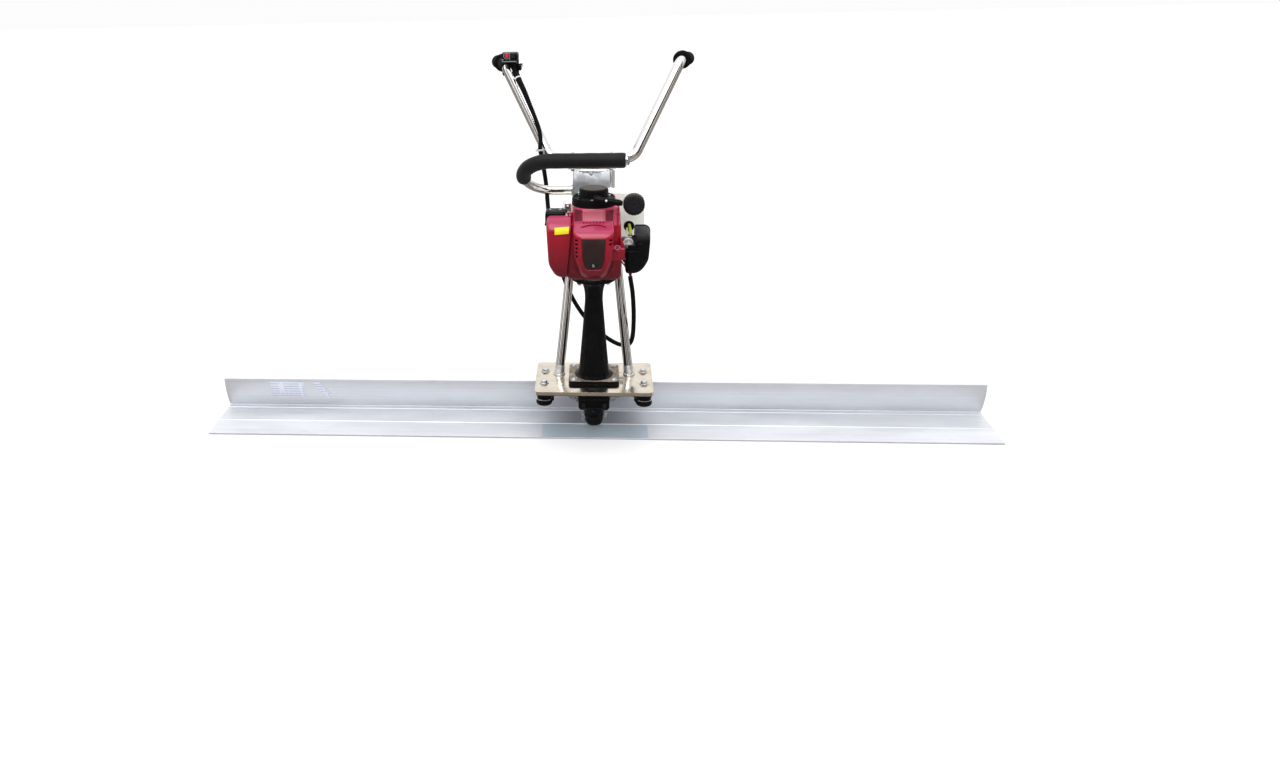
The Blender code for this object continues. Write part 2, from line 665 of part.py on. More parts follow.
def make_muffler():
    """The muffler on the left and its red guard with a black outlet box behind."""
    block("muffler", (-98, -42, 412), (-56, 8, 488), CAST, 4, 1)
    guard = block("muffler_cover", (-104, -86, 402), (-53.3, -44, 520), RED, 9, 3)
    cut(guard, block("guard_room", (-100, -80, 408), (-56.5, -30, 512), None))


def make_intake():
    """The air cleaner on the right, the carburettor between it and the cylinder, and levers."""
    cleaner = block("air_cleaner_cover", (72, -64, 398), (124, 0, 498), PLASTIC, 12, 3)
    cut(cleaner, block("cleaner_room", (66, -58, 404), (118, -6, 492), None),
        block("cleaner_notch", (60, -70, 452), (87, 10, 520), None))
    carb = block("carburetor", (60.8, -50, 424), (86, -14, 474), CAST, 2, 1)
    cut(carb, rod("carb_throat", 8, (50, -32, 440), (95, -32, 440), None, 12),
        rod("primer_well", 9.4, (76, -60, 461.5), (76, -41, 461.5), None, 12))
    turned("primer_bulb", [(0, 15), (5, 13.5), (8.5, 8), (9, 0), (0, 0)], CLEAR,
           (76, -46, 461.5), (0, -1, 0), 12)
    lever = rod("choke_lever", 5, (66, -52.3, 436), (66, -58.3, 436), PLASTIC, 10)
    join(lever, block("choke_arm", (63.5, -57.8, 436), (68.0, -54, 451), None))


def make_tank():
    """The translucent fuel tank behind the engine, with its cap."""
    tank = block("fuel_tank", (-72, 48.5, 430), (114, 108, 548), TANK, 14, 2)
    inner = block("tank_room", (-68.5, 52, 433.5), (110.5, 104.5, 544.5), None, 12, 1)
    cut(tank, inner)
    cap_x, cap_z = 89.0, 533.0
    neck = ring("tank_neck", 15, 19, -22, 10, None, 20, (cap_x, 44, cap_z), (0, 1, 0))
    cut(tank, rod("neck_hole", 17, (cap_x, 40, cap_z), (cap_x, 60, cap_z), None, 20))
    join(tank, neck)
    profile = [(0, 31), (20, 31), (24, 28), (24, 6), (19.6, 6), (19.6, 25), (0, 25)]
    turned("fuel_cap", profile, PLASTIC, (cap_x, 28, cap_z), (0, -1, 0), 20)


def make_starter():
    """The recoil starter on top: housing, pulley and pull grip."""
    profile = [(0, 575), (28, 575), (32, 572), (32, 558), (44, 554), (47, 550), (47, 533.3),
               (43, 533.3), (43, 549), (29, 555), (29, 570), (0, 570)]
    housing = turned("starter_housing", profile, PLASTIC, steps=24)
    cut(housing, rod("rope_hole", 3, (10, -20, PULL_Z), (10, -60, PULL_Z), None, 8))
    turned("starter_pulley", [(0, 568), (26, 568), (26, 565.5), (22, 564.5), (22, 561.5),
                              (26, 560.5), (26, 558), (7, 558), (7, 547), (0, 547)], PLASTIC,
           steps=16)
    tube("starter_grip", [(8, PULL_Y, PULL_Z), (40, PULL_Y - 3, PULL_Z - 5),
                          (74, PULL_Y, PULL_Z - 12)], 8, RUBBER, sides=10)


# ---------------------------------------------------------------- cables

def make_cables():
    """The control cable: one run on the handlebar and one from the head to the engine."""
    upper = [(-176, 232, 770), (-168, 222, 745), (-140, 200, 684), (-128, 190, 652)]
    tube("handlebar_cable", upper, 4.5, RUBBER, sides=8)
    lower = [(-127, 180, 630), (-121, 190, 590), (-115, 200, 540), (-109, 160, 490),
             (-98, 118, 420), (-76, 112, 345), (-50, 108, 280), (-14, 104, 226), (29, 100, 186),
             (66, 96, 168), (88, 78, 184), (93, 60, 240), (90, 45, 310), (83, 30, 360),
             (74, 12, 392), (68, 9, 418)]
    tube("control_cable", lower, 4.5, RUBBER, sides=8)


def main():
    """Builds every part of the machine."""
    clear_scene()
    make_blade()
    make_lower_bracket()
    make_exciter()
    make_saddle()
    make_clamps()
    make_base_plate()
    make_isolators()
    make_shaft_housing()
    make_drive()
    make_legs()
    make_head()
    make_lift_handle()
    make_handlebar()
    make_controls()
    make_crankcase()
    make_cylinder()
    make_crank()
    make_shroud()
    make_muffler()
    make_intake()
    make_tank()
    make_starter()
    make_cables()


main()
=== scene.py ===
"""The looks of the power screed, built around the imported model.

Sizes in this file are millimetres in the model's own frame; piece() turns them into metres.
Where a drawn piece stands for a solid, its place comes from that solid's box or joint. The
rest is drawn in the same frame, beside it.
"""
import json
import math

import bmesh
import bpy
from mathutils import Matrix, Vector


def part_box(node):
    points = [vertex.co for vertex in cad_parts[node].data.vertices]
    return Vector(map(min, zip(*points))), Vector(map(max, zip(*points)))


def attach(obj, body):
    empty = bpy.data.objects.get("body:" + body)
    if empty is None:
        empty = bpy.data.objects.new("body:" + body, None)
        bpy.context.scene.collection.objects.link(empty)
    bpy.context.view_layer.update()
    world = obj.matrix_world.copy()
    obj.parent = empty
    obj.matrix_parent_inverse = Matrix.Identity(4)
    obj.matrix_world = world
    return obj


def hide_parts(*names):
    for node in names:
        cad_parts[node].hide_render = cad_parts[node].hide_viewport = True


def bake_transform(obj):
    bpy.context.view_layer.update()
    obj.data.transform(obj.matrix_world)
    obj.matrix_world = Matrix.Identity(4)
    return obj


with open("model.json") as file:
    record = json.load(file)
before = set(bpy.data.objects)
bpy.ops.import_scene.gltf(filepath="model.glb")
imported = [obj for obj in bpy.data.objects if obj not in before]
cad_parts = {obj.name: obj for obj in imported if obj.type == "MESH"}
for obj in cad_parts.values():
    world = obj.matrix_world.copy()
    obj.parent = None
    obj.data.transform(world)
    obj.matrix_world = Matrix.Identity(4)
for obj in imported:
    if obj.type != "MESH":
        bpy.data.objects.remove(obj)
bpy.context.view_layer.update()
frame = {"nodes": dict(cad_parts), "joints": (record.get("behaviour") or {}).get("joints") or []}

MM = 0.001
UP, DOWN, RIGHT = (0, 0, 1), (0, 0, -1), (1, 0, 0)
FRONT, BACK = (0, -1, 0), (0, 1, 0)


# ---------------------------------------------------------------- places from the frame

def cad(node):
    """A node's lowest and highest corner in millimetres."""
    low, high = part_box(node)
    return low / MM, high / MM


def middle(node):
    """The middle of a node's box in millimetres."""
    low, high = cad(node)
    return (low + high) / 2


def joint_place(name):
    """The point on a joint's axis in millimetres."""
    for joint in frame["joints"]:
        if joint["name"] == name:
            return Vector(joint["pos_m"]) / MM
    raise KeyError(name)


SHARP = 34
SIDES = (("left", -1), ("right", 1))
CORNERS = [(x, y) for x in (-1, 1) for y in (-1, 1)]


def added(name, data):
    """A new object in the scene."""
    made = bpy.data.objects.new(name, data)
    bpy.context.scene.collection.objects.link(made)
    return made


# ---------------------------------------------------------------- materials

class Finish:
    """One procedural material, whose colour, roughness and normal are built up in steps."""

    def __init__(self, name, colour, slot, metallic=0.0, rough=0.4, extra=None):
        self.material = bpy.data.materials.new(name)
        self.material.use_nodes = True
        self.slot = slot
        self.nodes = self.material.node_tree.nodes
        self.links = self.material.node_tree.links
        self.shader = self.nodes["Principled BSDF"]
        self.shader.inputs["Metallic"].default_value = metallic
        self.shader.inputs["Roughness"].default_value = rough
        self.shader.inputs["Base Color"].default_value = (*colour, 1)
        for key, value in (extra or {}).items():
            self.shader.inputs[key].default_value = value
        self.where = self.add("TexCoord").outputs["Object"]
        self.colour = None
        self.plain = colour
        self.normal = None

    def add(self, kind, **settings):
        made = self.nodes.new("ShaderNode" + kind)
        for key, value in settings.items():
            setattr(made, key, value)
        return made

    def scaled(self, stretch):
        """The object coordinates, scaled along each axis."""
        mapping = self.add("Mapping")
        mapping.inputs["Scale"].default_value = stretch
        self.links.new(self.where, mapping.inputs["Vector"])
        return mapping.outputs["Vector"]

    def noise(self, scale, stretch=(1, 1, 1), detail=4.0, rough=0.55):
        made = self.add("TexNoise")
        made.inputs["Scale"].default_value = scale
        made.inputs["Detail"].default_value = detail
        made.inputs["Roughness"].default_value = rough
        self.links.new(self.scaled(stretch), made.inputs["Vector"])
        return made.outputs["Fac"]

    def cells(self, scale, stretch=(1, 1, 1), output="Distance"):
        made = self.add("TexVoronoi")
        made.inputs["Scale"].default_value = scale
        self.links.new(self.scaled(stretch), made.inputs["Vector"])
        return made.outputs[output]

    def edges(self):
        """How far a point stands out as an edge, about 0.5 on a flat face."""
        return self.add("NewGeometry").outputs["Pointiness"]

    def height(self, low, high):
        """0 below one height and 1 above another, in millimetres."""
        split = self.add("SeparateXYZ")
        self.links.new(self.where, split.inputs[0])
        return self.between(split.outputs["Z"], low * MM, high * MM)

    def stretch(self, axis, low, high, soft=0.5):
        """1 between two places on an axis and 0 outside them, in millimetres."""
        split = self.add("SeparateXYZ")
        self.links.new(self.where, split.inputs[0])
        rising = self.between(split.outputs[axis], (low - soft) * MM, (low + soft) * MM)
        falling = self.between(split.outputs[axis], (high - soft) * MM, (high + soft) * MM,
                               1.0, 0.0)
        return self.times(rising, falling)

    def upward(self, low, high):
        """0 on walls and 1 on faces that look up, by the normal's height."""
        split = self.add("SeparateXYZ")
        self.links.new(self.add("NewGeometry").outputs["Normal"], split.inputs[0])
        return self.between(split.outputs["Z"], low, high)

    def between(self, value, low, high, to_low=0.0, to_high=1.0):
        made = self.add("MapRange")
        made.clamp = True
        for key, number in (("From Min", low), ("From Max", high), ("To Min", to_low),
                            ("To Max", to_high)):
            made.inputs[key].default_value = number
        self.links.new(value, made.inputs["Value"])
        return made.outputs["Result"]

    def times(self, first, second):
        made = self.add("Math", operation="MULTIPLY")
        self.links.new(first, made.inputs[0])
        if isinstance(second, float):
            made.inputs[1].default_value = second
        else:
            self.links.new(second, made.inputs[1])
        return made.outputs[0]

    def tint(self, colour, mask):
        """Mixes a colour over what is there, where the mask is 1."""
        mix = self.add("Mix", data_type="RGBA")
        if self.colour:
            self.links.new(self.colour, mix.inputs[6])
        else:
            mix.inputs[6].default_value = (*self.plain, 1)
        mix.inputs[7].default_value = (*colour, 1)
        self.links.new(mask, mix.inputs[0])
        self.colour = mix.outputs[2]
        self.links.new(self.colour, self.shader.inputs["Base Color"])
        return self

    def polish(self, value, low, high):
        """Roughness that runs between two values."""
        self.links.new(self.between(value, 0.3, 0.7, low, high), self.shader.inputs["Roughness"])
        return self

    def bump(self, value, depth, strength=1.0):
        """Relief of a depth in millimetres."""
        made = self.add("Bump")
        made.inputs["Strength"].default_value = strength
        made.inputs["Distance"].default_value = depth * MM
        self.links.new(value, made.inputs["Height"])
        if self.normal:
            self.links.new(self.normal, made.inputs["Normal"])
        self.normal = made.outputs["Normal"]
        self.links.new(self.normal, self.shader.inputs["Normal"])
        return self

    def worn(self, colour, threshold=0.56, spread=0.05, grain=220.0):
        """Bare material along the edges, broken up by noise."""
        edge = self.between(self.edges(), threshold, threshold + spread)
        patchy = self.between(self.noise(grain), 0.42, 0.62)
        return self.tint(colour, self.times(edge, patchy))

    def speckled(self, colour, scale, amount=0.62, spread=0.05):
        """Small spots of dirt."""
        return self.tint(colour, self.between(self.noise(scale, detail=6), amount, amount + spread))


# the film on the deck's front strip and the painted shadow of the machine behind it, as stretches
# in millimetres
FILM_X, FILM_Y = (-121, 125), (-126, -4)
PAINTED_SHADOW_X, PAINTED_SHADOW_Y = (-85, 80), (4, 73)


def metal_finishes():
    """Aluminium, stainless, chrome, zinc, cast and heat-stained steel."""
    made = {}
    f = Finish("extruded_aluminium", (0.73, 0.745, 0.775), "blade_aluminium", 0.45,
               extra={"Anisotropic": 0.4})
    lines = f.noise(1.0, (0.6, 260, 260), 5)
    clouds = f.noise(3.5, (1, 4, 4), 3)
    f.tint((0.64, 0.655, 0.685), f.between(lines, 0.42, 0.62, 0, 0.5))
    f.tint((0.79, 0.81, 0.845), f.between(clouds, 0.40, 0.62, 0, 0.75))
    f.speckled((0.55, 0.55, 0.55), 260, 0.71, 0.04)
    f.tint((0.55, 0.54, 0.52), f.between(f.noise(14, (1, 3, 3), 8, 0.7), 0.60, 0.74, 0, 0.35))
    flat = f.upward(0.5, 0.9)
    film = f.times(f.stretch("X", *FILM_X, 1.5), f.stretch("Y", *FILM_Y))
    f.tint((0.56, 0.67, 0.75), f.times(flat, f.times(film, 0.8)))
    # painted shadow: the deck behind the film is darkened where the exciter's shadow and the
    # machine's dark reflection fall, soft at the sides
    painted_shadow = f.times(f.stretch("X", *PAINTED_SHADOW_X, 38), f.stretch("Y", *PAINTED_SHADOW_Y))
    f.tint((0.32, 0.35, 0.38), f.times(flat, f.times(painted_shadow, 0.75)))
    f.polish(clouds, 0.40, 0.52).bump(lines, 0.04, 0.4).bump(f.noise(90), 0.05, 0.2)
    made["aluminium"] = f
    f = Finish("polished_stainless", (0.76, 0.70, 0.60), "stainless_plate", 1.0)
    lines = f.noise(1.0, (3, 420, 420), 4)
    f.tint((0.62, 0.56, 0.47), f.between(f.noise(26, detail=6), 0.45, 0.68, 0, 0.6))
    f.speckled((0.45, 0.38, 0.30), 330, 0.70, 0.03).worn((0.96, 0.95, 0.93), 0.53, 0.03)
    f.polish(f.noise(40), 0.10, 0.22).bump(lines, 0.012, 0.4)
    made["stainless"] = f
    f = Finish("bright_chrome", (0.90, 0.89, 0.88), "chromed_tube", 1.0)
    f.tint((0.62, 0.60, 0.58), f.between(f.noise(60, detail=8), 0.60, 0.75, 0, 0.6))
    f.polish(f.noise(22, (1, 1, 0.4)), 0.05, 0.17).bump(f.noise(160), 0.02, 0.25)
    made["chrome"] = f
    f = Finish("dull_chrome", (0.84, 0.84, 0.85), "chromed_tube", 0.8)
    f.tint((0.58, 0.57, 0.56), f.between(f.noise(90, detail=8), 0.50, 0.70))
    f.polish(f.noise(60), 0.22, 0.40).bump(f.noise(330), 0.12, 0.6)
    made["weld"] = f
    f = Finish("bright_zinc", (0.72, 0.73, 0.75), "zinc_steel", 1.0)
    f.tint((0.55, 0.55, 0.52), f.noise(120, detail=6)).worn((0.9, 0.9, 0.9), 0.54, 0.04)
    f.polish(f.noise(200), 0.22, 0.40).bump(f.noise(500), 0.03, 0.3)
    made["zinc"] = f
    f = Finish("galvanised_sheet", (0.40, 0.415, 0.43), "zinc_steel", 0.85)
    spangle = f.cells(70, output="Color")
    f.tint((0.31, 0.32, 0.335), f.times(f.between(spangle, 0.2, 0.9), 0.6))
    f.tint((0.52, 0.535, 0.56), f.between(f.noise(18), 0.45, 0.65, 0, 0.8))
    f.polish(spangle, 0.34, 0.52).bump(spangle, 0.03, 0.3)
    made["galvanised"] = f
    f = Finish("cast_aluminium", (0.46, 0.47, 0.48), "cast_aluminium", 0.9)
    f.tint((0.30, 0.30, 0.30), f.between(f.noise(70, detail=8), 0.45, 0.65))
    f.speckled((0.14, 0.12, 0.10), 190, 0.64, 0.06).worn((0.75, 0.75, 0.76), 0.54, 0.05)
    f.polish(f.noise(120), 0.40, 0.62).bump(f.noise(650, detail=2), 0.10, 0.8)
    made["cast"] = f
    f = Finish("heated_steel", (0.36, 0.31, 0.27), "zinc_steel", 0.9)
    f.tint((0.16, 0.11, 0.14), f.between(f.noise(30, detail=6), 0.42, 0.60))
    f.tint((0.30, 0.16, 0.07), f.between(f.noise(85, detail=8), 0.56, 0.68))
    f.polish(f.noise(90), 0.35, 0.60).bump(f.noise(420), 0.06, 0.5)
    made["heated"] = f
    return made


def paint_finishes():
    """The painted and enamelled metal, and the moulded red covers."""
    made = {}
    f = Finish("gloss_black_enamel", (0.006, 0.006, 0.007), "black_enamel",
               extra={"Coat Weight": 0.18, "Coat Roughness": 0.05, "Specular IOR Level": 0.06})
    f.tint((0.009, 0.0088, 0.0085), f.between(f.noise(45, detail=6), 0.45, 0.65))
    f.speckled((0.05, 0.047, 0.043), 420, 0.70, 0.03).worn((0.10, 0.10, 0.10), 0.56, 0.05)
    f.polish(f.noise(60), 0.16, 0.30).bump(f.noise(110, detail=2), 0.05, 0.35)
    made["enamel"] = f
    f = Finish("enamel_painted_reflection", (0.006, 0.006, 0.007), "black_enamel",
               extra={"Coat Weight": 0.35, "Coat Roughness": 0.10, "Specular IOR Level": 0.12})
    # painted reflection: a brownish tint on the faces that look up, broken into patches by noise
    reflection_patches = f.between(f.noise(38, detail=7, rough=0.7), 0.30, 0.62)
    f.tint((0.36, 0.295, 0.225), f.times(f.upward(0.5, 0.95), reflection_patches))
    f.worn((0.10, 0.10, 0.10), 0.56, 0.05)
    f.polish(f.noise(60), 0.20, 0.36).bump(f.noise(110, detail=2), 0.05, 0.35)
    made["reflecting_top"] = f
    f = Finish("satin_black_paint", (0.006, 0.006, 0.007), "black_enamel",
               extra={"Specular IOR Level": 0.18})
    f.tint((0.011, 0.0105, 0.010), f.between(f.noise(80, detail=8), 0.48, 0.68))
    f.worn((0.14, 0.14, 0.14), 0.56, 0.05).speckled((0.08, 0.075, 0.07), 300, 0.69, 0.04)
    f.polish(f.noise(130), 0.34, 0.55).bump(f.noise(600, detail=2), 0.06, 0.6)
    made["satin"] = f
    f = Finish("moulded_red", (0.40, 0.003, 0.028), "engine_red",
               extra={"Coat Weight": 0.55, "Coat Roughness": 0.15, "Specular IOR Level": 0.35})
    f.tint((0.33, 0.002, 0.022), f.between(f.noise(9, detail=4), 0.42, 0.62))
    # painted shade: the red darkens towards the bottom, where less light reaches
    f.tint((0.09, 0.001, 0.007), f.height(486, 378))
    # painted light: faces that look up are a lighter pink, as if lit from above
    f.tint((0.44, 0.05, 0.125), f.upward(0.15, 1.0))
    f.tint((0.56, 0.008, 0.045), f.between(f.noise(140, detail=6), 0.60, 0.74, 0, 0.5))
    f.worn((0.66, 0.05, 0.11), 0.58, 0.06, 300).speckled((0.25, 0.03, 0.035), 520, 0.73, 0.03)
    f.polish(f.noise(70), 0.30, 0.42).bump(f.noise(800, detail=2), 0.02, 0.4)
    made["red"] = f
    f = Finish("emblem_panel", (0.022, 0.010, 0.010), "black_plastic",
               extra={"Coat Weight": 0.5, "Coat Roughness": 0.2})
    # painted shade: the panel is darker towards its bottom and lighter towards its top
    f.tint((0.050, 0.022, 0.020), f.height(450, 500)).speckled((0.09, 0.07, 0.06), 400, 0.68, 0.04)
    f.polish(f.noise(90), 0.25, 0.4).bump(f.noise(700), 0.04, 0.6)
    made["panel"] = f
    return made


def polymer_finishes():
    """Rubber, foam, moulded plastics, the tank, hoses and papers."""
    made = {}
    f = Finish("black_rubber", (0.006, 0.006, 0.007), "rubber",
               extra={"Specular IOR Level": 0.16})
    f.tint((0.011, 0.0105, 0.010), f.between(f.noise(55, detail=8), 0.46, 0.66))
    f.speckled((0.06, 0.056, 0.05), 360, 0.70, 0.04)
    f.polish(f.noise(150), 0.50, 0.78).bump(f.noise(900, detail=3), 0.06, 0.8)
    made["rubber"] = f
    f = Finish("closed_cell_foam", (0.014, 0.014, 0.015), "foam",
               extra={"Sheen Weight": 0.10, "Sheen Roughness": 0.4, "Specular IOR Level": 0.25})
    cell = f.cells(950)
    f.tint((0.022, 0.022, 0.024), f.between(cell, 0.25, 0.75))
    f.tint((0.024, 0.023, 0.022), f.between(f.noise(40, detail=8), 0.55, 0.72))
    f.polish(f.noise(200), 0.48, 0.66).bump(cell, 0.16, 0.7).bump(f.noise(70), 0.35, 0.35)
    made["foam"] = f
    for key, name in (("plastic", "moulded_black"), ("cleaner", "cleaner_black")):
        f = Finish(name, (0.006, 0.006, 0.007), "black_plastic",
                   extra={"Specular IOR Level": 0.1, "Coat Weight": 0.12, "Coat Roughness": 0.15})
        f.tint((0.010, 0.010, 0.011), f.between(f.noise(60, detail=6), 0.42, 0.66))
        if key == "cleaner":
            f.tint((0.040, 0.040, 0.045), f.height(470, 480))
        f.speckled((0.08, 0.07, 0.055), 330, 0.71, 0.04).worn((0.06, 0.06, 0.062), 0.56, 0.06)
        f.polish(f.noise(110), 0.30, 0.48).bump(f.cells(620), 0.05, 0.5)
        made[key] = f
    f = Finish("textured_grey_black", (0.016, 0.016, 0.018), "black_plastic",
               extra={"Specular IOR Level": 0.3})
    f.tint((0.030, 0.030, 0.033), f.between(f.noise(420, detail=3), 0.45, 0.60))
    # painted light: faces that look up are a lighter warm grey, as if lit from above
    f.tint((0.125, 0.11, 0.10), f.upward(0.8, 1.0))
    f.tint((0.20, 0.12, 0.04), f.between(f.noise(16, detail=6), 0.63, 0.74, 0, 0.4))
    f.polish(f.noise(150), 0.52, 0.72).bump(f.noise(1100, detail=2), 0.12, 1.0)
    made["textured"] = f
    f = Finish("signal_red_button", (0.62, 0.03, 0.05), "signal_red")
    f.tint((0.45, 0.02, 0.03), f.noise(220)).worn((0.8, 0.25, 0.28), 0.54, 0.05)
    f.polish(f.noise(180), 0.25, 0.4).bump(f.noise(900), 0.03, 0.5)
    made["signal"] = f
    f = Finish("clear_bulb", (0.86, 0.88, 0.82), "clear_bulb",
               extra={"Transmission Weight": 0.8, "IOR": 1.35})
    f.tint((0.74, 0.76, 0.62), f.between(f.noise(120, detail=5), 0.45, 0.7))
    f.polish(f.noise(150), 0.08, 0.22).bump(f.noise(300), 0.03, 0.4)
    made["clear"] = f
    for key, name, colour, dark, slot in (
            ("tie", "white_nylon", (0.80, 0.80, 0.79), (0.62, 0.61, 0.58), "tank_plastic"),
            ("paper", "white_paper", (0.84, 0.88, 0.98), (0.76, 0.80, 0.90), "tank_plastic"),
            ("yellow", "yellow_film", (0.86, 0.76, 0.02), (0.74, 0.62, 0.01), "tank_plastic"),
            ("hose", "fuel_hose", (0.50, 0.62, 0.04), (0.36, 0.42, 0.02), "clear_bulb"),
            ("return", "pale_hose", (0.76, 0.72, 0.52), (0.60, 0.55, 0.34), "clear_bulb"),
            ("live", "red_wire", (0.45, 0.02, 0.03), (0.28, 0.01, 0.02), "signal_red"),
            ("rope", "starter_rope", (0.12, 0.12, 0.12), (0.03, 0.03, 0.03), "rubber"),
            ("grey", "grey_plastic", (0.26, 0.27, 0.28), (0.17, 0.17, 0.18), "black_plastic")):
        f = Finish(name, colour, slot)
        f.tint(dark, f.between(f.noise(160, detail=6), 0.45, 0.70, 0, 0.7))
        if key == "paper":
            rule = f.add("TexWave", bands_direction="Z")
            rule.inputs["Scale"].default_value = 46.0
            f.links.new(f.where, rule.inputs["Vector"])
            broken = f.between(f.noise(1.0, (110, 1, 20), 2), 0.42, 0.46)
            f.tint((0.40, 0.43, 0.52), f.times(f.between(rule.outputs["Fac"], 0.80, 0.95), broken))
        f.polish(f.noise(120), 0.35, 0.55).bump(f.noise(500, detail=3), 0.05, 0.5)
        made[key] = f
    made["tank"] = tank_finish()
    return made


def tank_finish():
    """Milky translucent plastic, which lets some of what is behind it through."""
    # painted light: a faint emission makes the plastic glow, standing in for light that comes
    # through it
    f = Finish("milky_tank", (0.84, 0.84, 0.81), "tank_plastic", rough=0.3,
               extra={"Emission Color": (1.0, 0.99, 0.95, 1.0), "Emission Strength": 0.12})
    f.tint((0.77, 0.77, 0.72), f.between(f.noise(12, detail=5), 0.45, 0.70))
    f.polish(f.noise(90), 0.24, 0.42).bump(f.noise(600, detail=3), 0.05, 0.5)
    through = f.add("BsdfTransparent")
    rim = f.add("LayerWeight")
    rim.inputs["Blend"].default_value = 0.35
    share = f.between(rim.outputs["Facing"], 0.1, 0.9, 0.74, 0.95)
    mix = f.add("MixShader")
    f.links.new(share, mix.inputs[0])
    f.links.new(through.outputs[0], mix.inputs[1])
    f.links.new(f.shader.outputs[0], mix.inputs[2])
    f.links.new(mix.outputs[0], f.nodes["Material Output"].inputs["Surface"])
    return f


LOOK = {**metal_finishes(), **paint_finishes(), **polymer_finishes()}


# ---------------------------------------------------------------- shapes, in millimetres

def rounded(bm, width, segments=3, angle=35):
    """Rounds the edges sharper than an angle."""
    if width <= 0:
        return bm
    limit = math.radians(angle)
    picked = [e for e in bm.edges if len(e.link_faces) == 2 and e.calc_face_angle(0) > limit]
    bmesh.ops.bevel(bm, geom=picked, offset=width, segments=segments, profile=0.5,
                    affect="EDGES", clamp_overlap=True)
    return bm


def block(low, high, rounding=0.0, segments=3):
    """A box between two corners."""
    bm = bmesh.new()
    bmesh.ops.create_cube(bm, size=1.0)
    low, high = Vector(low), Vector(high)
    bmesh.ops.scale(bm, vec=high - low, verts=bm.verts)
    bmesh.ops.translate(bm, vec=(low + high) / 2, verts=bm.verts)
    return rounded(bm, rounding, segments)


def skin(bm, rings, closed=False):
    """Joins rings of vertices with faces. A ring of one vertex is a pole."""
    pairs = list(zip(rings, rings[1:]))
    if closed:
        pairs.append((rings[-1], rings[0]))
    for a, b in pairs:
        count = max(len(a), len(b))
        for i in range(count):
            corner = [a[i % len(a)], a[(i + 1) % len(a)], b[(i + 1) % len(b)], b[i % len(b)]]
            face = []
            for vertex in corner:
                if vertex not in face:
                    face.append(vertex)
            if len(face) > 2:
                bm.faces.new(face)


def turned(profile, origin=(0, 0, 0), axis=UP, steps=56, closed=False, wobble=None):
    """A profile of (radius, height) points turned about an axis."""
    turn = Vector(UP).rotation_difference(Vector(axis)).to_matrix()
    bm = bmesh.new()
    rings = []
    for r, z in profile:
        if r < 1e-6:
            rings.append([bm.verts.new(turn @ Vector((0, 0, z)) + Vector(origin))])
            continue
        ring = []
        for i in range(steps):
            angle = 2 * math.pi * i / steps
            radius = r + (wobble(angle, r, z) if wobble else 0.0)
            place = Vector((radius * math.cos(angle), radius * math.sin(angle), z))
            ring.append(bm.verts.new(turn @ place + Vector(origin)))
        rings.append(ring)
    skin(bm, rings, closed)
    return bm


def rod(radius, start, end, steps=32, rounding=0.0):
    """A round bar between two points, with eased rims."""
    start, end = Vector(start), Vector(end)
    length = (end - start).length
    r = max(rounding, 0.01)
    profile = [(0, length), (radius - r, length), (radius - 0.3 * r, length - 0.3 * r),
               (radius, length - r), (radius, r), (radius - 0.3 * r, 0.3 * r), (radius - r, 0),
               (0, 0)]
    return turned(profile, start, end - start, steps)


def arc(centre, radius, first, last, count):
    """Points on an arc in a plane, angles in degrees, both ends included."""
    points = []
    for i in range(count + 1):
        angle = math.radians(first + (last - first) * i / count)
        points.append((centre[0] + radius * math.cos(angle), centre[1] + radius * math.sin(angle)))
    return points


def circle(centre, radius, count):
    """Points round a full circle in a plane."""
    return arc(centre, radius, 0, 360, count)[:-1]


def mirrored(half):
    """A half outline of (u, v, radius) corners with its mirror image."""
    return half + [(-u, v, radius) for u, v, radius in reversed(half)]


def rounded_outline(corners, count=6):
    """A closed outline from (u, v, radius) corners."""
    points = []
    total = len(corners)
    for i, (u, v, radius) in enumerate(corners):
        here = Vector((u, v))
        if radius <= 0:
            points.append(tuple(here))
            continue
        a = (Vector(corners[i - 1][:2]) - here).normalized()
        b = (Vector(corners[(i + 1) % total][:2]) - here).normalized()
        half = a.angle(b) / 2
        start = a * radius / math.tan(half)
        end = b * radius / math.tan(half)
        centre = (a + b).normalized() * radius / math.sin(half)
        sweep = math.pi - 2 * half
        first, last = start - centre, end - centre
        for k in range(count + 1):
            t = k / count
            step = first * math.sin((1 - t) * sweep) + last * math.sin(t * sweep)
            points.append(tuple(here + centre + step / math.sin(sweep)))
    return points


PLANES = {"XY": lambda u, v, w: Vector((u, v, w)),
          "XZ": lambda u, v, w: Vector((u, w, v)),
          "YZ": lambda u, v, w: Vector((w, u, v))}


def slab(outline, low, high, plane="XY", rounding=0.0, segments=3, holes=()):
    """A flat outline, with any holes, that runs between two levels across its plane."""
    bm = bmesh.new()
    for loop in [outline] + list(holes):
        made = [bm.verts.new(PLANES[plane](u, v, low)) for u, v in loop]
        for a, b in zip(made, made[1:] + made[:1]):
            bm.edges.new((a, b))
    bmesh.ops.triangle_fill(bm, edges=bm.edges[:], use_beauty=True)
    grown = bmesh.ops.extrude_face_region(bm, geom=bm.faces[:])
    moved = [g for g in grown["geom"] if isinstance(g, bmesh.types.BMVert)]
    bmesh.ops.translate(bm, vec=PLANES[plane](0, 0, high - low), verts=moved)
    bmesh.ops.recalc_face_normals(bm, faces=bm.faces)
    return rounded(bm, rounding, segments, 50)


def loft(rings, first_cap=True):
    """A skin through rings of points, all with the same count, capped at its last ring."""
    bm = bmesh.new()
    made = [[bm.verts.new(p) for p in ring] for ring in rings]
    skin(bm, made)
    if first_cap:
        bm.faces.new(made[0])
    bm.faces.new(made[-1])
    return bm


def thickened(bm, wall):
    """Gives an open skin a wall on its inner side."""
    bmesh.ops.recalc_face_normals(bm, faces=bm.faces)
    bmesh.ops.solidify(bm, geom=bm.faces[:], thickness=wall)
    return bm


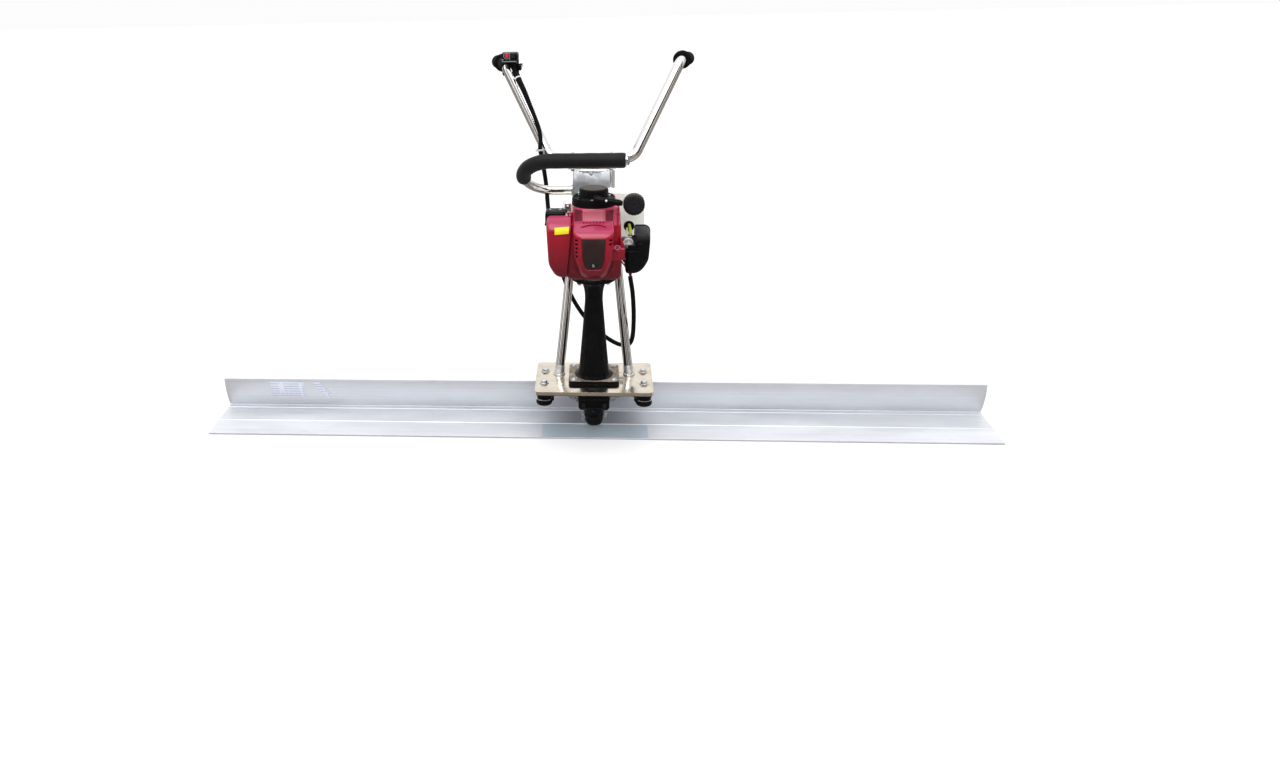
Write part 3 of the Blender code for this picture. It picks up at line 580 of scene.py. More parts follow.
def sweep(path, radius, sides=28, flat=1.0, up=UP, wall=0.0):
    """A tube along a path. The radius is a number or a function of the share of the way."""
    points = [Vector(p) for p in path]
    lengths = [0.0]
    for a, b in zip(points, points[1:]):
        lengths.append(lengths[-1] + (b - a).length)
    across = None
    rings = []
    for i, point in enumerate(points):
        ahead = points[min(i + 1, len(points) - 1)] - points[max(i - 1, 0)]
        ahead.normalize()
        side = ahead.cross(Vector(up)) if across is None else across
        side = (side - ahead * side.dot(ahead)).normalized()
        across = side
        other = ahead.cross(side)
        r = radius(lengths[i] / lengths[-1]) if callable(radius) else radius
        ring = []
        for k in range(sides):
            angle = 2 * math.pi * k / sides
            ring.append(point + side * r * math.cos(angle) + other * r * flat * math.sin(angle))
        rings.append(ring)
    if wall:
        inner = []
        for ring, point in zip(rings, points):
            inner.append([point + (p - point) * (1 - wall / (p - point).length) for p in ring])
        bm = bmesh.new()
        made = [[bm.verts.new(p) for p in ring] for ring in rings + inner[::-1]]
        skin(bm, made, closed=True)
        return bm
    return loft(rings)


def flow(points, step=4.0):
    """A smooth line through points, sampled evenly."""
    points = [Vector(p) for p in points]
    ends = [points[0] * 2 - points[1]] + points + [points[-1] * 2 - points[-2]]
    line = []
    for i in range(1, len(ends) - 2):
        p0, p1, p2, p3 = ends[i - 1:i + 3]
        count = max(2, int((p2 - p1).length / step))
        for k in range(count):
            t = k / count
            line.append(0.5 * (2 * p1 + (p2 - p0) * t + (2 * p0 - 5 * p1 + 4 * p2 - p3) * t * t
                               + (3 * p1 - p0 - 3 * p2 + p3) * t ** 3))
    return line + [points[-1]]


def bent_path(corners, radius, count=10):
    """A line whose inner corners are replaced by arcs."""
    corners = [Vector(c) for c in corners]
    path = [corners[0]]
    for before, corner, after in zip(corners, corners[1:], corners[2:]):
        a = (before - corner).normalized()
        b = (after - corner).normalized()
        half = a.angle(b) / 2
        centre = corner + (a + b).normalized() * radius / math.sin(half)
        start = corner + a * radius / math.tan(half) - centre
        end = corner + b * radius / math.tan(half) - centre
        turn = start.angle(end)
        for i in range(count + 1):
            t = i / count
            step = start * math.sin((1 - t) * turn) + end * math.sin(t * turn)
            path.append(centre + step / math.sin(turn))
    path.append(corners[-1])
    return path


def placed(bm, matrix):
    """Moves a shape."""
    bmesh.ops.transform(bm, matrix=matrix, verts=bm.verts)
    return bm


def hexagon(place, axis=UP, across=13.0, tall=5.5, washer=0.0):
    """A chamfered hexagon head, with a washer under it if it has a size."""
    r = across / 2 / math.cos(math.radians(30))
    flat = across / 2
    shapes = [turned([(0, tall), (flat * 0.8, tall), (r, tall - 1.1), (r, 0.0), (0, 0.0)],
                     place, axis, 6)]
    shapes.append(turned([(0, tall + 0.15), (flat * 0.86, tall + 0.15), (flat * 0.93, tall - 0.5),
                          (flat * 0.93, 0.4), (0, 0.4)], place, axis, 40))
    if washer:
        shapes.append(turned([(0, 1.2), (washer - 0.3, 1.2), (washer, 0.9), (washer, -0.4),
                              (0, -0.4)], place, axis, 36))
    return shapes


def screw_head(place, axis=UP, radius=4.2, tall=2.4):
    """A pan head with a cross recess."""
    shapes = [turned([(0, tall), (radius * 0.55, tall * 0.96), (radius * 0.86, tall * 0.72),
                      (radius, tall * 0.25), (radius, -0.6), (0, -0.6)], place, axis, 28)]
    turn = Vector(UP).rotation_difference(Vector(axis)).to_matrix()
    for wide, deep in ((0.13, 0.5), (0.5, 0.13)):
        size = Vector((radius * wide, radius * deep, 0.25))
        bar = block(-size, size)
        bmesh.ops.translate(bar, vec=(0, 0, tall + 0.05), verts=bar.verts)
        shapes.append(placed(bar, Matrix.Translation(Vector(place)) @ turn.to_4x4()))
    return shapes


def tori(path_points, radius, rough=0.0, sides=14):
    """A closed bead along a loop of points, with a rippled width like a weld."""
    points = [Vector(p) for p in path_points]
    bm = bmesh.new()
    rings = []
    total = len(points)
    for i, point in enumerate(points):
        ahead = (points[(i + 1) % total] - points[i - 1]).normalized()
        side = ahead.cross(Vector((0, 0.3, 1))).normalized()
        other = ahead.cross(side)
        r = radius * (1 + rough * math.sin(i * 2.1) * (0.6 + 0.4 * math.sin(i * 0.7)))
        ring = []
        for k in range(sides):
            angle = 2 * math.pi * k / sides
            ring.append(bm.verts.new(point + side * r * math.cos(angle)
                                     + other * r * math.sin(angle)))
        rings.append(ring)
    skin(bm, rings, closed=True)
    return bm


# ---------------------------------------------------------------- pieces

def piece(name, shapes, look, body, stands_for=(), sharp=SHARP):
    """Makes one visible piece from shapes and puts it on a body. It returns the object."""
    shapes = shapes if isinstance(shapes, (list, tuple)) else [shapes]
    mesh = bpy.data.meshes.new(name)
    whole = bmesh.new()
    for shape in shapes:
        bmesh.ops.recalc_face_normals(shape, faces=shape.faces)
        shape.to_mesh(mesh)
        shape.free()
        whole.from_mesh(mesh)
    bmesh.ops.scale(whole, vec=(MM, MM, MM), verts=whole.verts)
    mesh.clear_geometry()
    whole.to_mesh(mesh)
    whole.free()
    obj = added(name, mesh)
    mesh.materials.append(LOOK[look].material)
    mesh.shade_smooth()
    mesh.set_sharp_from_angle(angle=math.radians(sharp))
    if stands_for:
        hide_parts(*([stands_for] if isinstance(stands_for, str) else stands_for))
    if body:
        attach(obj, body)
    return obj


def bake(obj, sharp=SHARP):
    """Applies an object's modifiers."""
    graph = bpy.context.evaluated_depsgraph_get()
    graph.update()
    mesh = bpy.data.meshes.new_from_object(obj.evaluated_get(graph))
    obj.modifiers.clear()
    obj.data = mesh
    mesh.shade_smooth()
    mesh.set_sharp_from_angle(angle=math.radians(sharp))


def walled(obj, wall, sharp):
    """Gives an object's skin a wall behind its faces, in millimetres."""
    modifier = obj.modifiers.new("wall", "SOLIDIFY")
    modifier.thickness = wall * MM
    modifier.offset = -1.0
    bake(obj, sharp)


def carve(obj, shapes):
    """Cuts an object with shapes, one after the other."""
    for shape in shapes if isinstance(shapes, (list, tuple)) else [shapes]:
        bmesh.ops.recalc_face_normals(shape, faces=shape.faces)
        bmesh.ops.scale(shape, vec=(MM, MM, MM), verts=shape.verts)
        mesh = bpy.data.meshes.new("cutter")
        shape.to_mesh(mesh)
        shape.free()
        cutter = added("cutter", mesh)
        modifier = obj.modifiers.new("carve", "BOOLEAN")
        modifier.operation = "DIFFERENCE"
        modifier.object = cutter
        bake(obj)
        bpy.data.objects.remove(cutter, do_unlink=True)
    return obj


# ---------------------------------------------------------------- blade

BLADE_LOW, BLADE_HIGH = cad("screed_blade")
DECK = 4.0
STEP_Y, STEP_HEIGHT = 74.0, 1.2
UPRIGHT_R = 140.0
UPRIGHT_TOP_Y = 64.5


def upright_y(z, behind=0.0):
    """The upright's face towards the deck at a height, or a parallel face behind it."""
    drop = BLADE_HIGH.z - 1 - z
    return UPRIGHT_TOP_Y + UPRIGHT_R - math.sqrt((UPRIGHT_R - behind) ** 2 - drop ** 2)


def make_blade():
    """The extruded blade: deck, bead, step, leaning upright and eased lips."""
    count, thick = 28, 3.5
    top = BLADE_HIGH.z
    front = BLADE_LOW.y
    foot = DECK + STEP_HEIGHT
    rising = [foot + 1.5 + (top - 3 - foot) * i / count for i in range(count + 1)]
    falling = [(top - 1.5) * (1 - i / count) for i in range(count + 1)]
    face = [(upright_y(z), z) for z in rising]
    back = [(upright_y(z, thick), z) for z in falling]
    lip_y = (upright_y(top - 1) + upright_y(top - 1, thick)) / 2
    lip = arc((lip_y, top - 1.6), 1.6, 165, 15, 6)
    deck = [(front + 0.4, 0.3)] + arc((front + 0.9, DECK - 0.9), 0.9, 180, 90, 4)
    bead = [(-3.4, DECK)] + arc((0, DECK - 1.0), 2.4, 150, 30, 8) + [(3.4, DECK)]
    step = [(STEP_Y - 1.0, DECK), (STEP_Y - 0.4, DECK + 0.3), (STEP_Y + 0.2, foot - 0.3),
            (STEP_Y + 0.8, foot), (face[0][0] - 1.0, foot)]
    outline = deck + bead + step + face + lip + back + [(front + 1.0, 0)]
    piece("blade_extrusion", slab(outline, BLADE_LOW.x, BLADE_HIGH.x, "YZ"), "aluminium",
          "blade", "screed_blade", 20)


def paper(name, x0, x1, z0, z1, tilt, look):
    """A blank sheet stuck on the upright, turned about its middle."""
    centre = Vector(((x0 + x1) / 2, (z0 + z1) / 2))
    turn = math.radians(tilt)
    columns, rows = 14, 10
    bm = bmesh.new()
    grid = []
    for j in range(rows + 1):
        line = []
        for i in range(columns + 1):
            u = (i / columns - 0.5) * (x1 - x0)
            v = (j / rows - 0.5) * (z1 - z0)
            x = centre.x + u * math.cos(turn) - v * math.sin(turn)
            z = centre.y + u * math.sin(turn) + v * math.cos(turn)
            lift = 0.35 + 0.10 * math.sin(u * 0.9 + v * 0.5) + 0.5 * max(0, i / columns - 0.9)
            line.append(bm.verts.new((x, upright_y(z) - lift, z)))
        grid.append(line)
    for a, b in zip(grid, grid[1:]):
        for i in range(columns):
            bm.faces.new((a[i], a[i + 1], b[i + 1], b[i]))
    bmesh.ops.recalc_face_normals(bm, faces=bm.faces)
    bmesh.ops.solidify(bm, geom=bm.faces[:], thickness=0.15)
    piece(name, bm, look, "blade")


# ---------------------------------------------------------------- exciter, bracket and clamps

# how far the lugs that carry the clamps stand from the middle
LUG_X = 75


def make_bracket():
    """The bracket's sheet with its ears, stiffening lips and jaw lugs."""
    high = cad("lower_bracket")[1]
    seat = middle("isolator_rear_right")
    ear, top = 15.0, high.z
    bottom = top - 4.0
    half_bar, waist = 94.0, 92.0
    outline = rounded_outline(mirrored([
        (half_bar, -16, 6), (waist, -seat.y - 10, 8), (seat.x + ear, -seat.y - ear, ear - 1),
        (seat.x + ear, seat.y + ear, ear - 1), (waist, seat.y + 12, 6), (waist, high.y, 4)]), 6)
    holes = [circle((sx * seat.x, sy * seat.y), 7.6, 24) for sx, sy in CORNERS]
    holes.append(rounded_outline([(-37, -15, 2), (37, -15, 2), (37, 37, 2), (-37, 37, 2)], 3))
    shapes = [slab(outline, bottom, top, "XY", 0.8, 2, holes)]
    for _, s in SIDES:
        left, right = s * LUG_X - 13, s * LUG_X + 13
        lug = rounded_outline([(left, 60, 4), (right, 60, 4), (right, top - 1, 0),
                               (left, top - 1, 0)], 4)
        shapes.append(slab(lug, 58, high.y - 0.1, "XZ", 0.7, 2))
        shapes.append(block((s * 66 - 26, 34, bottom - 8), (s * 66 + 26, 37, bottom + 1), 1.0))
        for y in (22, 48):
            shapes += hexagon((s * 50, y, top), UP, 10, 4.5, 8.5)
    piece("bracket_sheet", shapes, "satin", "blade", "lower_bracket")


def make_exciter():
    """The exciter's block, ribbed barrel, seams and bolts."""
    high = cad("exciter_housing")[1]
    half = high.x
    body = block((-half, -half, 57), (half, half, high.z), 4.5, 4)
    barrel = turned([(0, 70), (25.5, 70), (25.5, 62), (24, 59), (23.0, 40), (22.0, 34), (22.6, 32),
                     (22.6, 29), (21.2, 27), (20.8, 20), (20.2, 16), (19, 11), (17.4, 8.4),
                     (15, 7.5), (6, 7.5), (5, 9), (0, 9)], steps=56)
    rim = half + 0.8
    shapes = [body, barrel, block((-rim, -rim, 80), (rim, rim, 83), 0.8)]
    for sx, sy in CORNERS:
        shapes.append(rod(5.5, (sx * 28, sy * 28, 54.5), (sx * 28, sy * 28, 60), 24, 1))
    shapes.append(rod(3.2, (0, -23.4, 48), (0, -27.0, 48), 20, 0.8))
    piece("exciter_body", shapes, "enamel", "blade", "exciter_housing")
    bolts = []
    for x, z in ((-24, 95), (-24, 68), (24, 95), (24, 68)):
        bolts += hexagon((x, -half - 0.6, z), FRONT, 8, 3.6, 6.4)
    bolts += hexagon((0, -25.2, 48), FRONT, 6, 2.8, 0)
    piece("exciter_bolts", bolts, "satin", "blade")


def make_saddle():
    """The cast saddle between the bracket and the deck, hollowed for the exciter and cut for the
    lugs.
    """
    low, high = cad("exciter_saddle")
    half = [(62, high.z, 0), (62, 71, 3), (38, 56, 6), (33, 51, 3), (31, 26, 3), (27, low.z, 0)]
    outline = rounded_outline(mirrored(half), 5)
    body = piece("saddle_casting", slab(outline, low.y, high.y, "XZ", 1.6, 3), "cast", "blade",
                 "exciter_saddle")
    carve(body, [block((-36.6, -40, 56.5), (36.6, 36.6, 101)),
                 turned([(0, 90), (26.5, 90), (26.5, 58), (25.0, 56), (24.0, 34), (22.0, 12),
                         (16, 2), (0, 2)], steps=48)])
    for _, s in SIDES:
        carve(body, block((s * LUG_X - 14, 39.5, 50), (s * LUG_X + 14, 70, 90)))


def make_clamps():
    """Jaws over the upright, and knobs that press round pads on its back."""
    for name, _ in SIDES:
        low, high = cad("clamp_jaw_" + name)
        x = middle("clamp_jaw_" + name).x
        axis_z = middle("clamp_pad_" + name).z
        arm = BLADE_HIGH.z + 0.3
        outline = rounded_outline([(low.y, arm, 1), (84, arm, 2), (84, low.z, 2), (98, low.z, 3),
                                   (98, high.z - 6, 5), (91, high.z, 5), (low.y, high.z, 3)], 5)
        jaw = slab(outline, low.x, high.x, "YZ", 1.3, 3)
        rib = block((x - 2.5, 60, high.z - 1), (x + 2.5, 88, high.z + 1.2), 1.0)
        boss = turned([(5.3, 102.5), (9.5, 102.5), (10.5, 101.5), (10.5, 97), (5.3, 97)],
                      (x, 0, axis_z), BACK, 32, closed=True)
        jaw_piece = piece("jaw_" + name, [jaw, rib], "satin", "blade", "clamp_jaw_" + name)
        carve(jaw_piece, rod(5.3, (x, 70, axis_z), (x, 110, axis_z)))
        piece("jaw_nut_" + name, boss, "zinc", "blade")
        bolts = [shape for y in (36, 50)
                 for shape in hexagon((x, y, high.z), UP, 10, 5.0, 8.5)]
        piece("jaw_bolts_" + name, bolts, "zinc", "blade")
        pad = turned([(0, 4.0), (6.2, 4.0), (6.8, 3.2), (9.4, 2.4), (10, 1.4), (10, 0.5), (9.5, 0),
                      (0, 0)], (x, cad("clamp_pad_" + name)[0].y, axis_z), BACK, 40)
        piece("pad_" + name, pad, "zinc", "clamp_pad_" + name, "clamp_pad_" + name)
        make_knob(name, x, axis_z)


def make_knob(name, x, axis_z):
    """A five-lobed hand knob on a threaded screw."""
    start = (x, cad("clamp_knob_" + name)[0].y, axis_z)

    def lobes(angle, r, _height):
        return -2.6 * (1 - math.cos(5 * angle)) / 2 if r > 12 else 0.0

    head = turned([(0, 57), (5, 57), (6, 58), (15, 58), (19.5, 56.5), (21.6, 53), (21.6, 46),
                   (19.5, 43), (12, 41), (10, 39), (9, 36), (9, 32), (4.6, 32)],
                  start, BACK, 80, wobble=lobes)
    piece("knob_" + name, head, "plastic", "clamp_knob_" + name, "clamp_knob_" + name)
    thread = [(0, 33)]
    pitch = 1.5
    for i in range(int(32 / pitch)):
        z = 32.5 - i * pitch
        thread += [(5.0, z), (4.3, z - pitch / 2)]
    thread += [(4.3, 0.4), (3.9, 0), (0, 0)]
    piece("knob_screw_" + name, turned(thread, start, BACK, 28), "zinc", "clamp_knob_" + name)


# ---------------------------------------------------------------- plate, isolators and housing

PLATE_LOW, PLATE_HIGH = cad("base_plate")


def isolator_places():
    """Name, x and y of the four isolators."""
    for end in ("front", "rear"):
        for side, _ in SIDES:
            place = middle(f"isolator_{end}_{side}")
            yield f"{end}_{side}", place.x, place.y


def make_plate():
    """The polished plate with rounded corners and eased rims."""
    corner = 12.0
    low, high = PLATE_LOW, PLATE_HIGH
    outline = rounded_outline([(high.x, low.y, corner), (high.x, high.y, corner),
                               (low.x, high.y, corner), (low.x, low.y, corner)], 10)
    holes = [circle((0, 0), 20, 40)] + [circle((x, y), 4.4, 16) for _, x, y in isolator_places()]
    piece("deck_plate", slab(outline, low.z, high.z, "XY", 3.4, 5, holes), "stainless", "frame",
          "base_plate", 25)


def make_isolators():
    """Ringed rubber isolators that give between blade and frame, their washers and bolts."""
    bracket_top = cad("lower_bracket")[1].z
    bottom = cad("isolator_front_left")[0].z
    top = PLATE_LOW.z - 0.2
    radius = 18.5
    upper = [(4.6, top), (radius - 1.2, top), (radius, top - 1.4), (radius, 107),
             (radius - 1.3, 105), (radius - 1.3, 101), (radius, 99), (radius, 95), (radius - 1, 93),
             (radius - 3, bracket_top + 0.3), (7.2, bracket_top + 0.3)]
    lower = [(7.2, bracket_top - 4.3), (radius - 1.0, bracket_top - 4.3),
             (radius, bracket_top - 5.6), (radius, bottom + 4), (radius - 1.2, bottom + 1.4),
             (radius - 3.4, bottom), (4.6, bottom)]
    for name, x, y in isolator_places():
        bush = piece("bush_" + name, turned(upper + lower, (x, y, 0), steps=48, closed=True),
                     "rubber", None, "isolator_" + name)
        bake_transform(bush)
        seat = turned([(7.4, bracket_top + 1.6), (radius + 0.6, bracket_top + 1.6),
                       (radius + 1.0, bracket_top + 1.0), (radius + 1.0, bracket_top + 0.1),
                       (7.4, bracket_top + 0.1)], (x, y, 0), steps=48, closed=True)
        piece("bush_seat_" + name, seat, "zinc", "blade")
        bolt = hexagon((x, y, PLATE_HIGH.z + 1.6), UP, 13, 5.2)
        bolt.append(turned([(0, 1.7), (10.6, 1.7), (11.2, 1.2), (11.2, 0.05), (0, 0.05)],
                           (x, y, PLATE_HIGH.z), steps=40))
        bolt.append(rod(4.0, (x, y, bottom - 4), (x, y, PLATE_HIGH.z + 1), 20, 0.5))
        bolt += hexagon((x, y, bottom - 0.2), DOWN, 11, 3.5)
        piece("plate_bolt_" + name, bolt, "zinc", "frame", "isolator_bolt_" + name)


def make_shaft_housing():
    """The glossy tapered casting with its round root and square foot, bolted down."""
    low, high = cad("shaft_housing")
    half, root = 58.0, low.z + 9
    outer = [(50, high.z - 0.6), (50.4, high.z - 1.5), (50.4, high.z - 5), (49, high.z - 6.4),
             (33, high.z - 9), (29, high.z - 12), (25.5, 354), (22.6, 344), (20.9, 334),
             (20.2, 322), (20.4, 312), (23.0, 280), (26.2, 240), (29.6, 200), (33.0, 162),
             (34.8, 146), (36.2, root + 6), (38.4, root + 2.4), (43.5, root + 1.2),
             (44.2, root + 0.2), (44.2, root - 3)]
    profile = outer + [(15, root - 3), (15, high.z - 0.6)]
    body = turned(profile, steps=72, closed=True)
    outline = rounded_outline([(half, low.y, 10), (half, half, 10), (-half, half, 10),
                               (-half, low.y, 10)], 8)
    foot = slab(outline, low.z, root, "XY", 1.8, 4, [circle((0, 0), 20, 40)])
    piece("housing_casting", body, "enamel", "frame", "shaft_housing", 30)
    piece("housing_foot", foot, "reflecting_top", "frame", (), 30)
    bolts, top_bolts = [], []
    for sx in (-1, 1):
        for y in (low.y + 11, half - 11):
            bolts += hexagon((sx * 46, y, root), UP, 8, 3.6, 6.6)
            top_bolts += hexagon((sx * 32, sx * y * 0.62, high.z - 8.6), DOWN, 7, 4.0, 6)
    piece("foot_bolts", bolts, "zinc", "frame")
    piece("flange_bolts", top_bolts, "zinc", "frame")
    lip = turned([(44, high.z + 3.8), (47, high.z + 3.4), (48, high.z + 2), (48, high.z + 0.4),
                  (44, high.z + 0.3)], steps=60, closed=True)
    piece("flange_gasket", lip, "satin", "frame")


# ---------------------------------------------------------------- legs, head and handles

LEG_LEAN = 0.38
LEG_R = 10.5
LEG_TOP_Z = 532.0
LEG_FOOT_X, LEG_TOP_X = 82.0, 39.0


def leg_point(side, z):
    """The centre line of a leg at a height."""
    share = (z - PLATE_HIGH.z) / (LEG_TOP_Z - PLATE_HIGH.z)
    spread = LEG_FOOT_X + (LEG_TOP_X - LEG_FOOT_X) * min(1.0, max(0.0, share)) ** 0.92
    return Vector((side * spread, 19.0 + LEG_LEAN * (z - PLATE_HIGH.z), z))


def make_legs():
    """Chromed tubes from the plate to the head, welded at their feet."""
    top = cad("leg_left")[1].z - 4
    for name, s in SIDES:
        levels = (129.6, 150, 185, 220, 265, 309, 365, 420, 476, LEG_TOP_Z, top)
        path = flow([leg_point(s, z) for z in levels], 8)
        piece("tube_leg_" + name, sweep(path, LEG_R, 48, up=BACK, wall=1.8), "chrome",
              "frame", "leg_" + name)
        foot = leg_point(s, PLATE_HIGH.z + 1.6)
        bead = [foot + Vector((u * 11.4, v * 12.0, 0)) for u, v in circle((0, 0), 1, 40)]
        collar = sweep([leg_point(s, PLATE_HIGH.z + 0.4), leg_point(s, PLATE_HIGH.z + 19)],
                       lambda t: 12.2 - 1.6 * t, 48, up=BACK)
        piece("leg_weld_" + name, [tori(bead, 2.4, 0.22), collar], "weld", "frame")


def make_head():
    """The galvanised sheet between the legs, folded at its sides, with a bolt and a bridge along
    its top.
    """
    low, high = cad("head_plate")
    tilt = math.atan(LEG_LEAN)
    centre = (low + high) / 2
    half_x = (high.x - low.x) / 2
    half_v = (high.z - low.z) / math.cos(tilt) / 2 - 1
    turn = Matrix.Translation(centre) @ Matrix.Rotation(-tilt, 4, "X")
    outline = rounded_outline([(half_x, -half_v, 3), (half_x, half_v, 3), (-half_x, half_v, 3),
                               (-half_x, -half_v, 3)], 4)
    sheet = placed(slab(outline, -2, 1.2, "XZ", 0.8, 2), turn)
    edge = [placed(block((s * half_x - (1.6 if s > 0 else 0.0), -2.6, -half_v + 1),
                         (s * half_x + (0.0 if s > 0 else 1.6), 3.4, half_v - 1), 0.7), turn)
            for s in (-1, 1)]
    piece("head_sheet", [sheet] + edge, "galvanised", "frame", "head_plate")
    place = turn @ Vector((-1, -3.0, half_v - 5.5))
    bolt = hexagon(place, turn.to_3x3() @ Vector(FRONT), 6, 3.4, 5)
    piece("head_bolts", bolt, "zinc", "frame")
    hanger = [placed(block((-22, -4.6, half_v - 4), (22, -2.0, half_v + 3), 1.0), turn),
              placed(block((-30, -3.6, half_v - 1), (30, -1.0, half_v + 2.4), 0.8), turn)]
    piece("head_bridge", hanger, "weld", "frame")


def make_handlebar_clamp():
    """The split block that holds the handlebar, with its cap screws."""
    low, high = cad("handlebar_clamp")
    axis = joint_place("handlebar_tilt")
    mouth = 12.9
    outline = rounded_outline([(low.y, low.z, 4), (high.y, low.z, 4), (high.y, high.z, 3),
                               (axis.y + mouth, high.z, 1.5), (axis.y + mouth, axis.z, 0)]
                              + [(axis.y + mouth * math.cos(math.radians(a)),
                                  axis.z + mouth * math.sin(math.radians(a)), 0)
                                 for a in range(-15, -180, -15)]
                              + [(axis.y - mouth, axis.z, 0), (axis.y - mouth, high.z, 1.5),
                                 (low.y, high.z, 3)], 5)
    body = slab(outline, low.x, high.x, "YZ", 1.2, 3)
    piece("handlebar_seat", body, "chrome", "frame", "handlebar_clamp")
    screws = []
    for _, s in SIDES:
        for y in (low.y + 3.2, high.y - 3.2):
            screws.append(turned([(0, 1.4), (1.4, 1.4), (1.4, 3.6), (2.7, 3.6), (2.9, 3.3),
                                  (2.9, -3), (0, -3)], (axis.x + s * 46, y, high.z), steps=24))
        screws.append(rod(4.0, (axis.x + s * 46, low.y + 8, low.z - 5),
                          (axis.x + s * 46, low.y + 8, low.z + 2), 20, 0.8))
    piece("seat_screws", screws, "zinc", "frame")


# the lift handle's two branches, and where it leaves the head, bends and starts its sleeve
LIFT_REAR, LIFT_FRONT = Vector((0, 174, LEG_TOP_Z)), Vector((0, 67, 624))
LIFT_START_X, LIFT_BEND_X, SLEEVE_LOW_Z = -51.0, -93.0, 600


def lift_line(last_x, count=36):
    """The lift handle's centre line: a rear branch, a half-circle bend and a front branch."""
    centre = (LIFT_REAR + LIFT_FRONT) / 2 + Vector((LIFT_BEND_X, 0, 0))
    across = (LIFT_REAR - LIFT_FRONT) / 2
    path = [LIFT_REAR + Vector((x, 0, 0))
            for x in (LIFT_START_X, (LIFT_START_X + LIFT_BEND_X) / 2)]
    for i in range(count + 1):
        angle = math.pi * i / count
        path.append(centre + across * math.cos(angle)
                    - Vector((across.length * math.sin(angle), 0, 0)))
    for k in range(1, 9):
        path.append(LIFT_FRONT + Vector((LIFT_BEND_X + (last_x - LIFT_BEND_X) * k / 8, 0, 0)))
    return path


def make_lift_handle():
    """The looped handle, its foam sleeve and the plug in its free end."""
    end_x = cad("lift_handle")[1].x
    path = lift_line(end_x)
    piece("lift_tube", sweep(path, 10.5, 48, wall=2.0), "chrome", "frame", "lift_handle")
    foam_end = cad("foam_sleeve")[1].x
    line = [p for p in lift_line(foam_end) if p.x < LIFT_BEND_X or p.z > SLEEVE_LOW_Z][15:]

    def bulge(t):
        ends = min(t, 1 - t) * 60
        return 17.2 - 1.6 * math.exp(-ends * 2.0) + 0.25 * math.sin(t * 37) * math.sin(t * 11)

    piece("foam_grip", sweep(flow(line, 3), bulge, 48, wall=6.0), "foam", "frame", "foam_sleeve")
    plug = turned([(0, 4), (7.5, 3.6), (10.2, 2.4), (11.4, 0.6), (11.4, -1.6), (8.4, -1.6),
                   (8.4, -12), (0, -12)], (end_x, *LIFT_FRONT.yz), RIGHT, 40)
    piece("handle_plug", plug, "grey", "frame")
    ring = turned([(11.0, 1.6), (14.8, 1.6), (15.2, 1.0), (15.2, -0.6), (11.0, -0.6)],
                  (foam_end + 1.0, *LIFT_FRONT.yz), RIGHT, 48, closed=True)
    piece("foam_end_ring", ring, "zinc", "frame")
    bead = [(LIFT_START_X - 0.5, y, z) for y, z in circle(LIFT_REAR.yz, 11.4, 36)]
    piece("lift_weld", tori(bead, 2.0, 0.2), "weld", "frame")


GRIP_X, GRIP_Y, GRIP_Z = 212.0, 288.0, 822.0
GRIP_DIR = Vector((0.19, 0.98, -0.08)).normalized()
HANDLE_R = 12.5
BAR_BEND_X, BAR_BEND_R = 99.0, 32


def grip_point(side, along):
    """A point on a grip's axis, a distance behind the handlebar's upper corner."""
    direction = Vector((side * GRIP_DIR.x, GRIP_DIR.y, GRIP_DIR.z))
    corner = Vector((joint_place("handlebar_tilt").x + side * GRIP_X, GRIP_Y, GRIP_Z))
    return corner + direction * along


def make_handlebar():
    """The V-shaped chromed bar and its two ribbed rubber grips."""
    axis = joint_place("handlebar_tilt")
    bends = [axis + Vector((s * BAR_BEND_X, 0, 0)) for s in (-1, 1)]
    path = bent_path([grip_point(-1, 132), grip_point(-1, 0), *bends,
                      grip_point(1, 0), grip_point(1, 132)], BAR_BEND_R, 14)
    piece("bar_tube", sweep(path, HANDLE_R, 48, wall=2.0), "chrome", "handlebar", "handlebar")
    for name, s, node in (("left", -1, "grip_throttle_side"), ("right", 1, "grip_plain_side")):
        axis_dir = grip_point(s, 1) - grip_point(s, 0)
        outer = [(12.7, 16), (20, 16), (21.6, 17), (21.8, 20), (20.6, 22), (17.8, 25)]
        along = 27.0
        while along < 132:
            outer += [(16.2, along), (16.2, along + 2.2), (15.0, along + 3.0), (15.0, along + 4.2)]
            along += 5.0
        outer += [(16.2, 134), (16.6, 137), (15.8, 140), (13, 142), (3, 142.2), (2, 141), (0, 141)]
        grip = turned(outer, grip_point(s, 0), axis_dir, 56)
        piece("grip_" + name, grip, "rubber", "handlebar", node, 40)


# the lower end and the rear end of the box's half round the bar
CLAMP_LOW_Z, CLAMP_BACK_Y = 811, 306


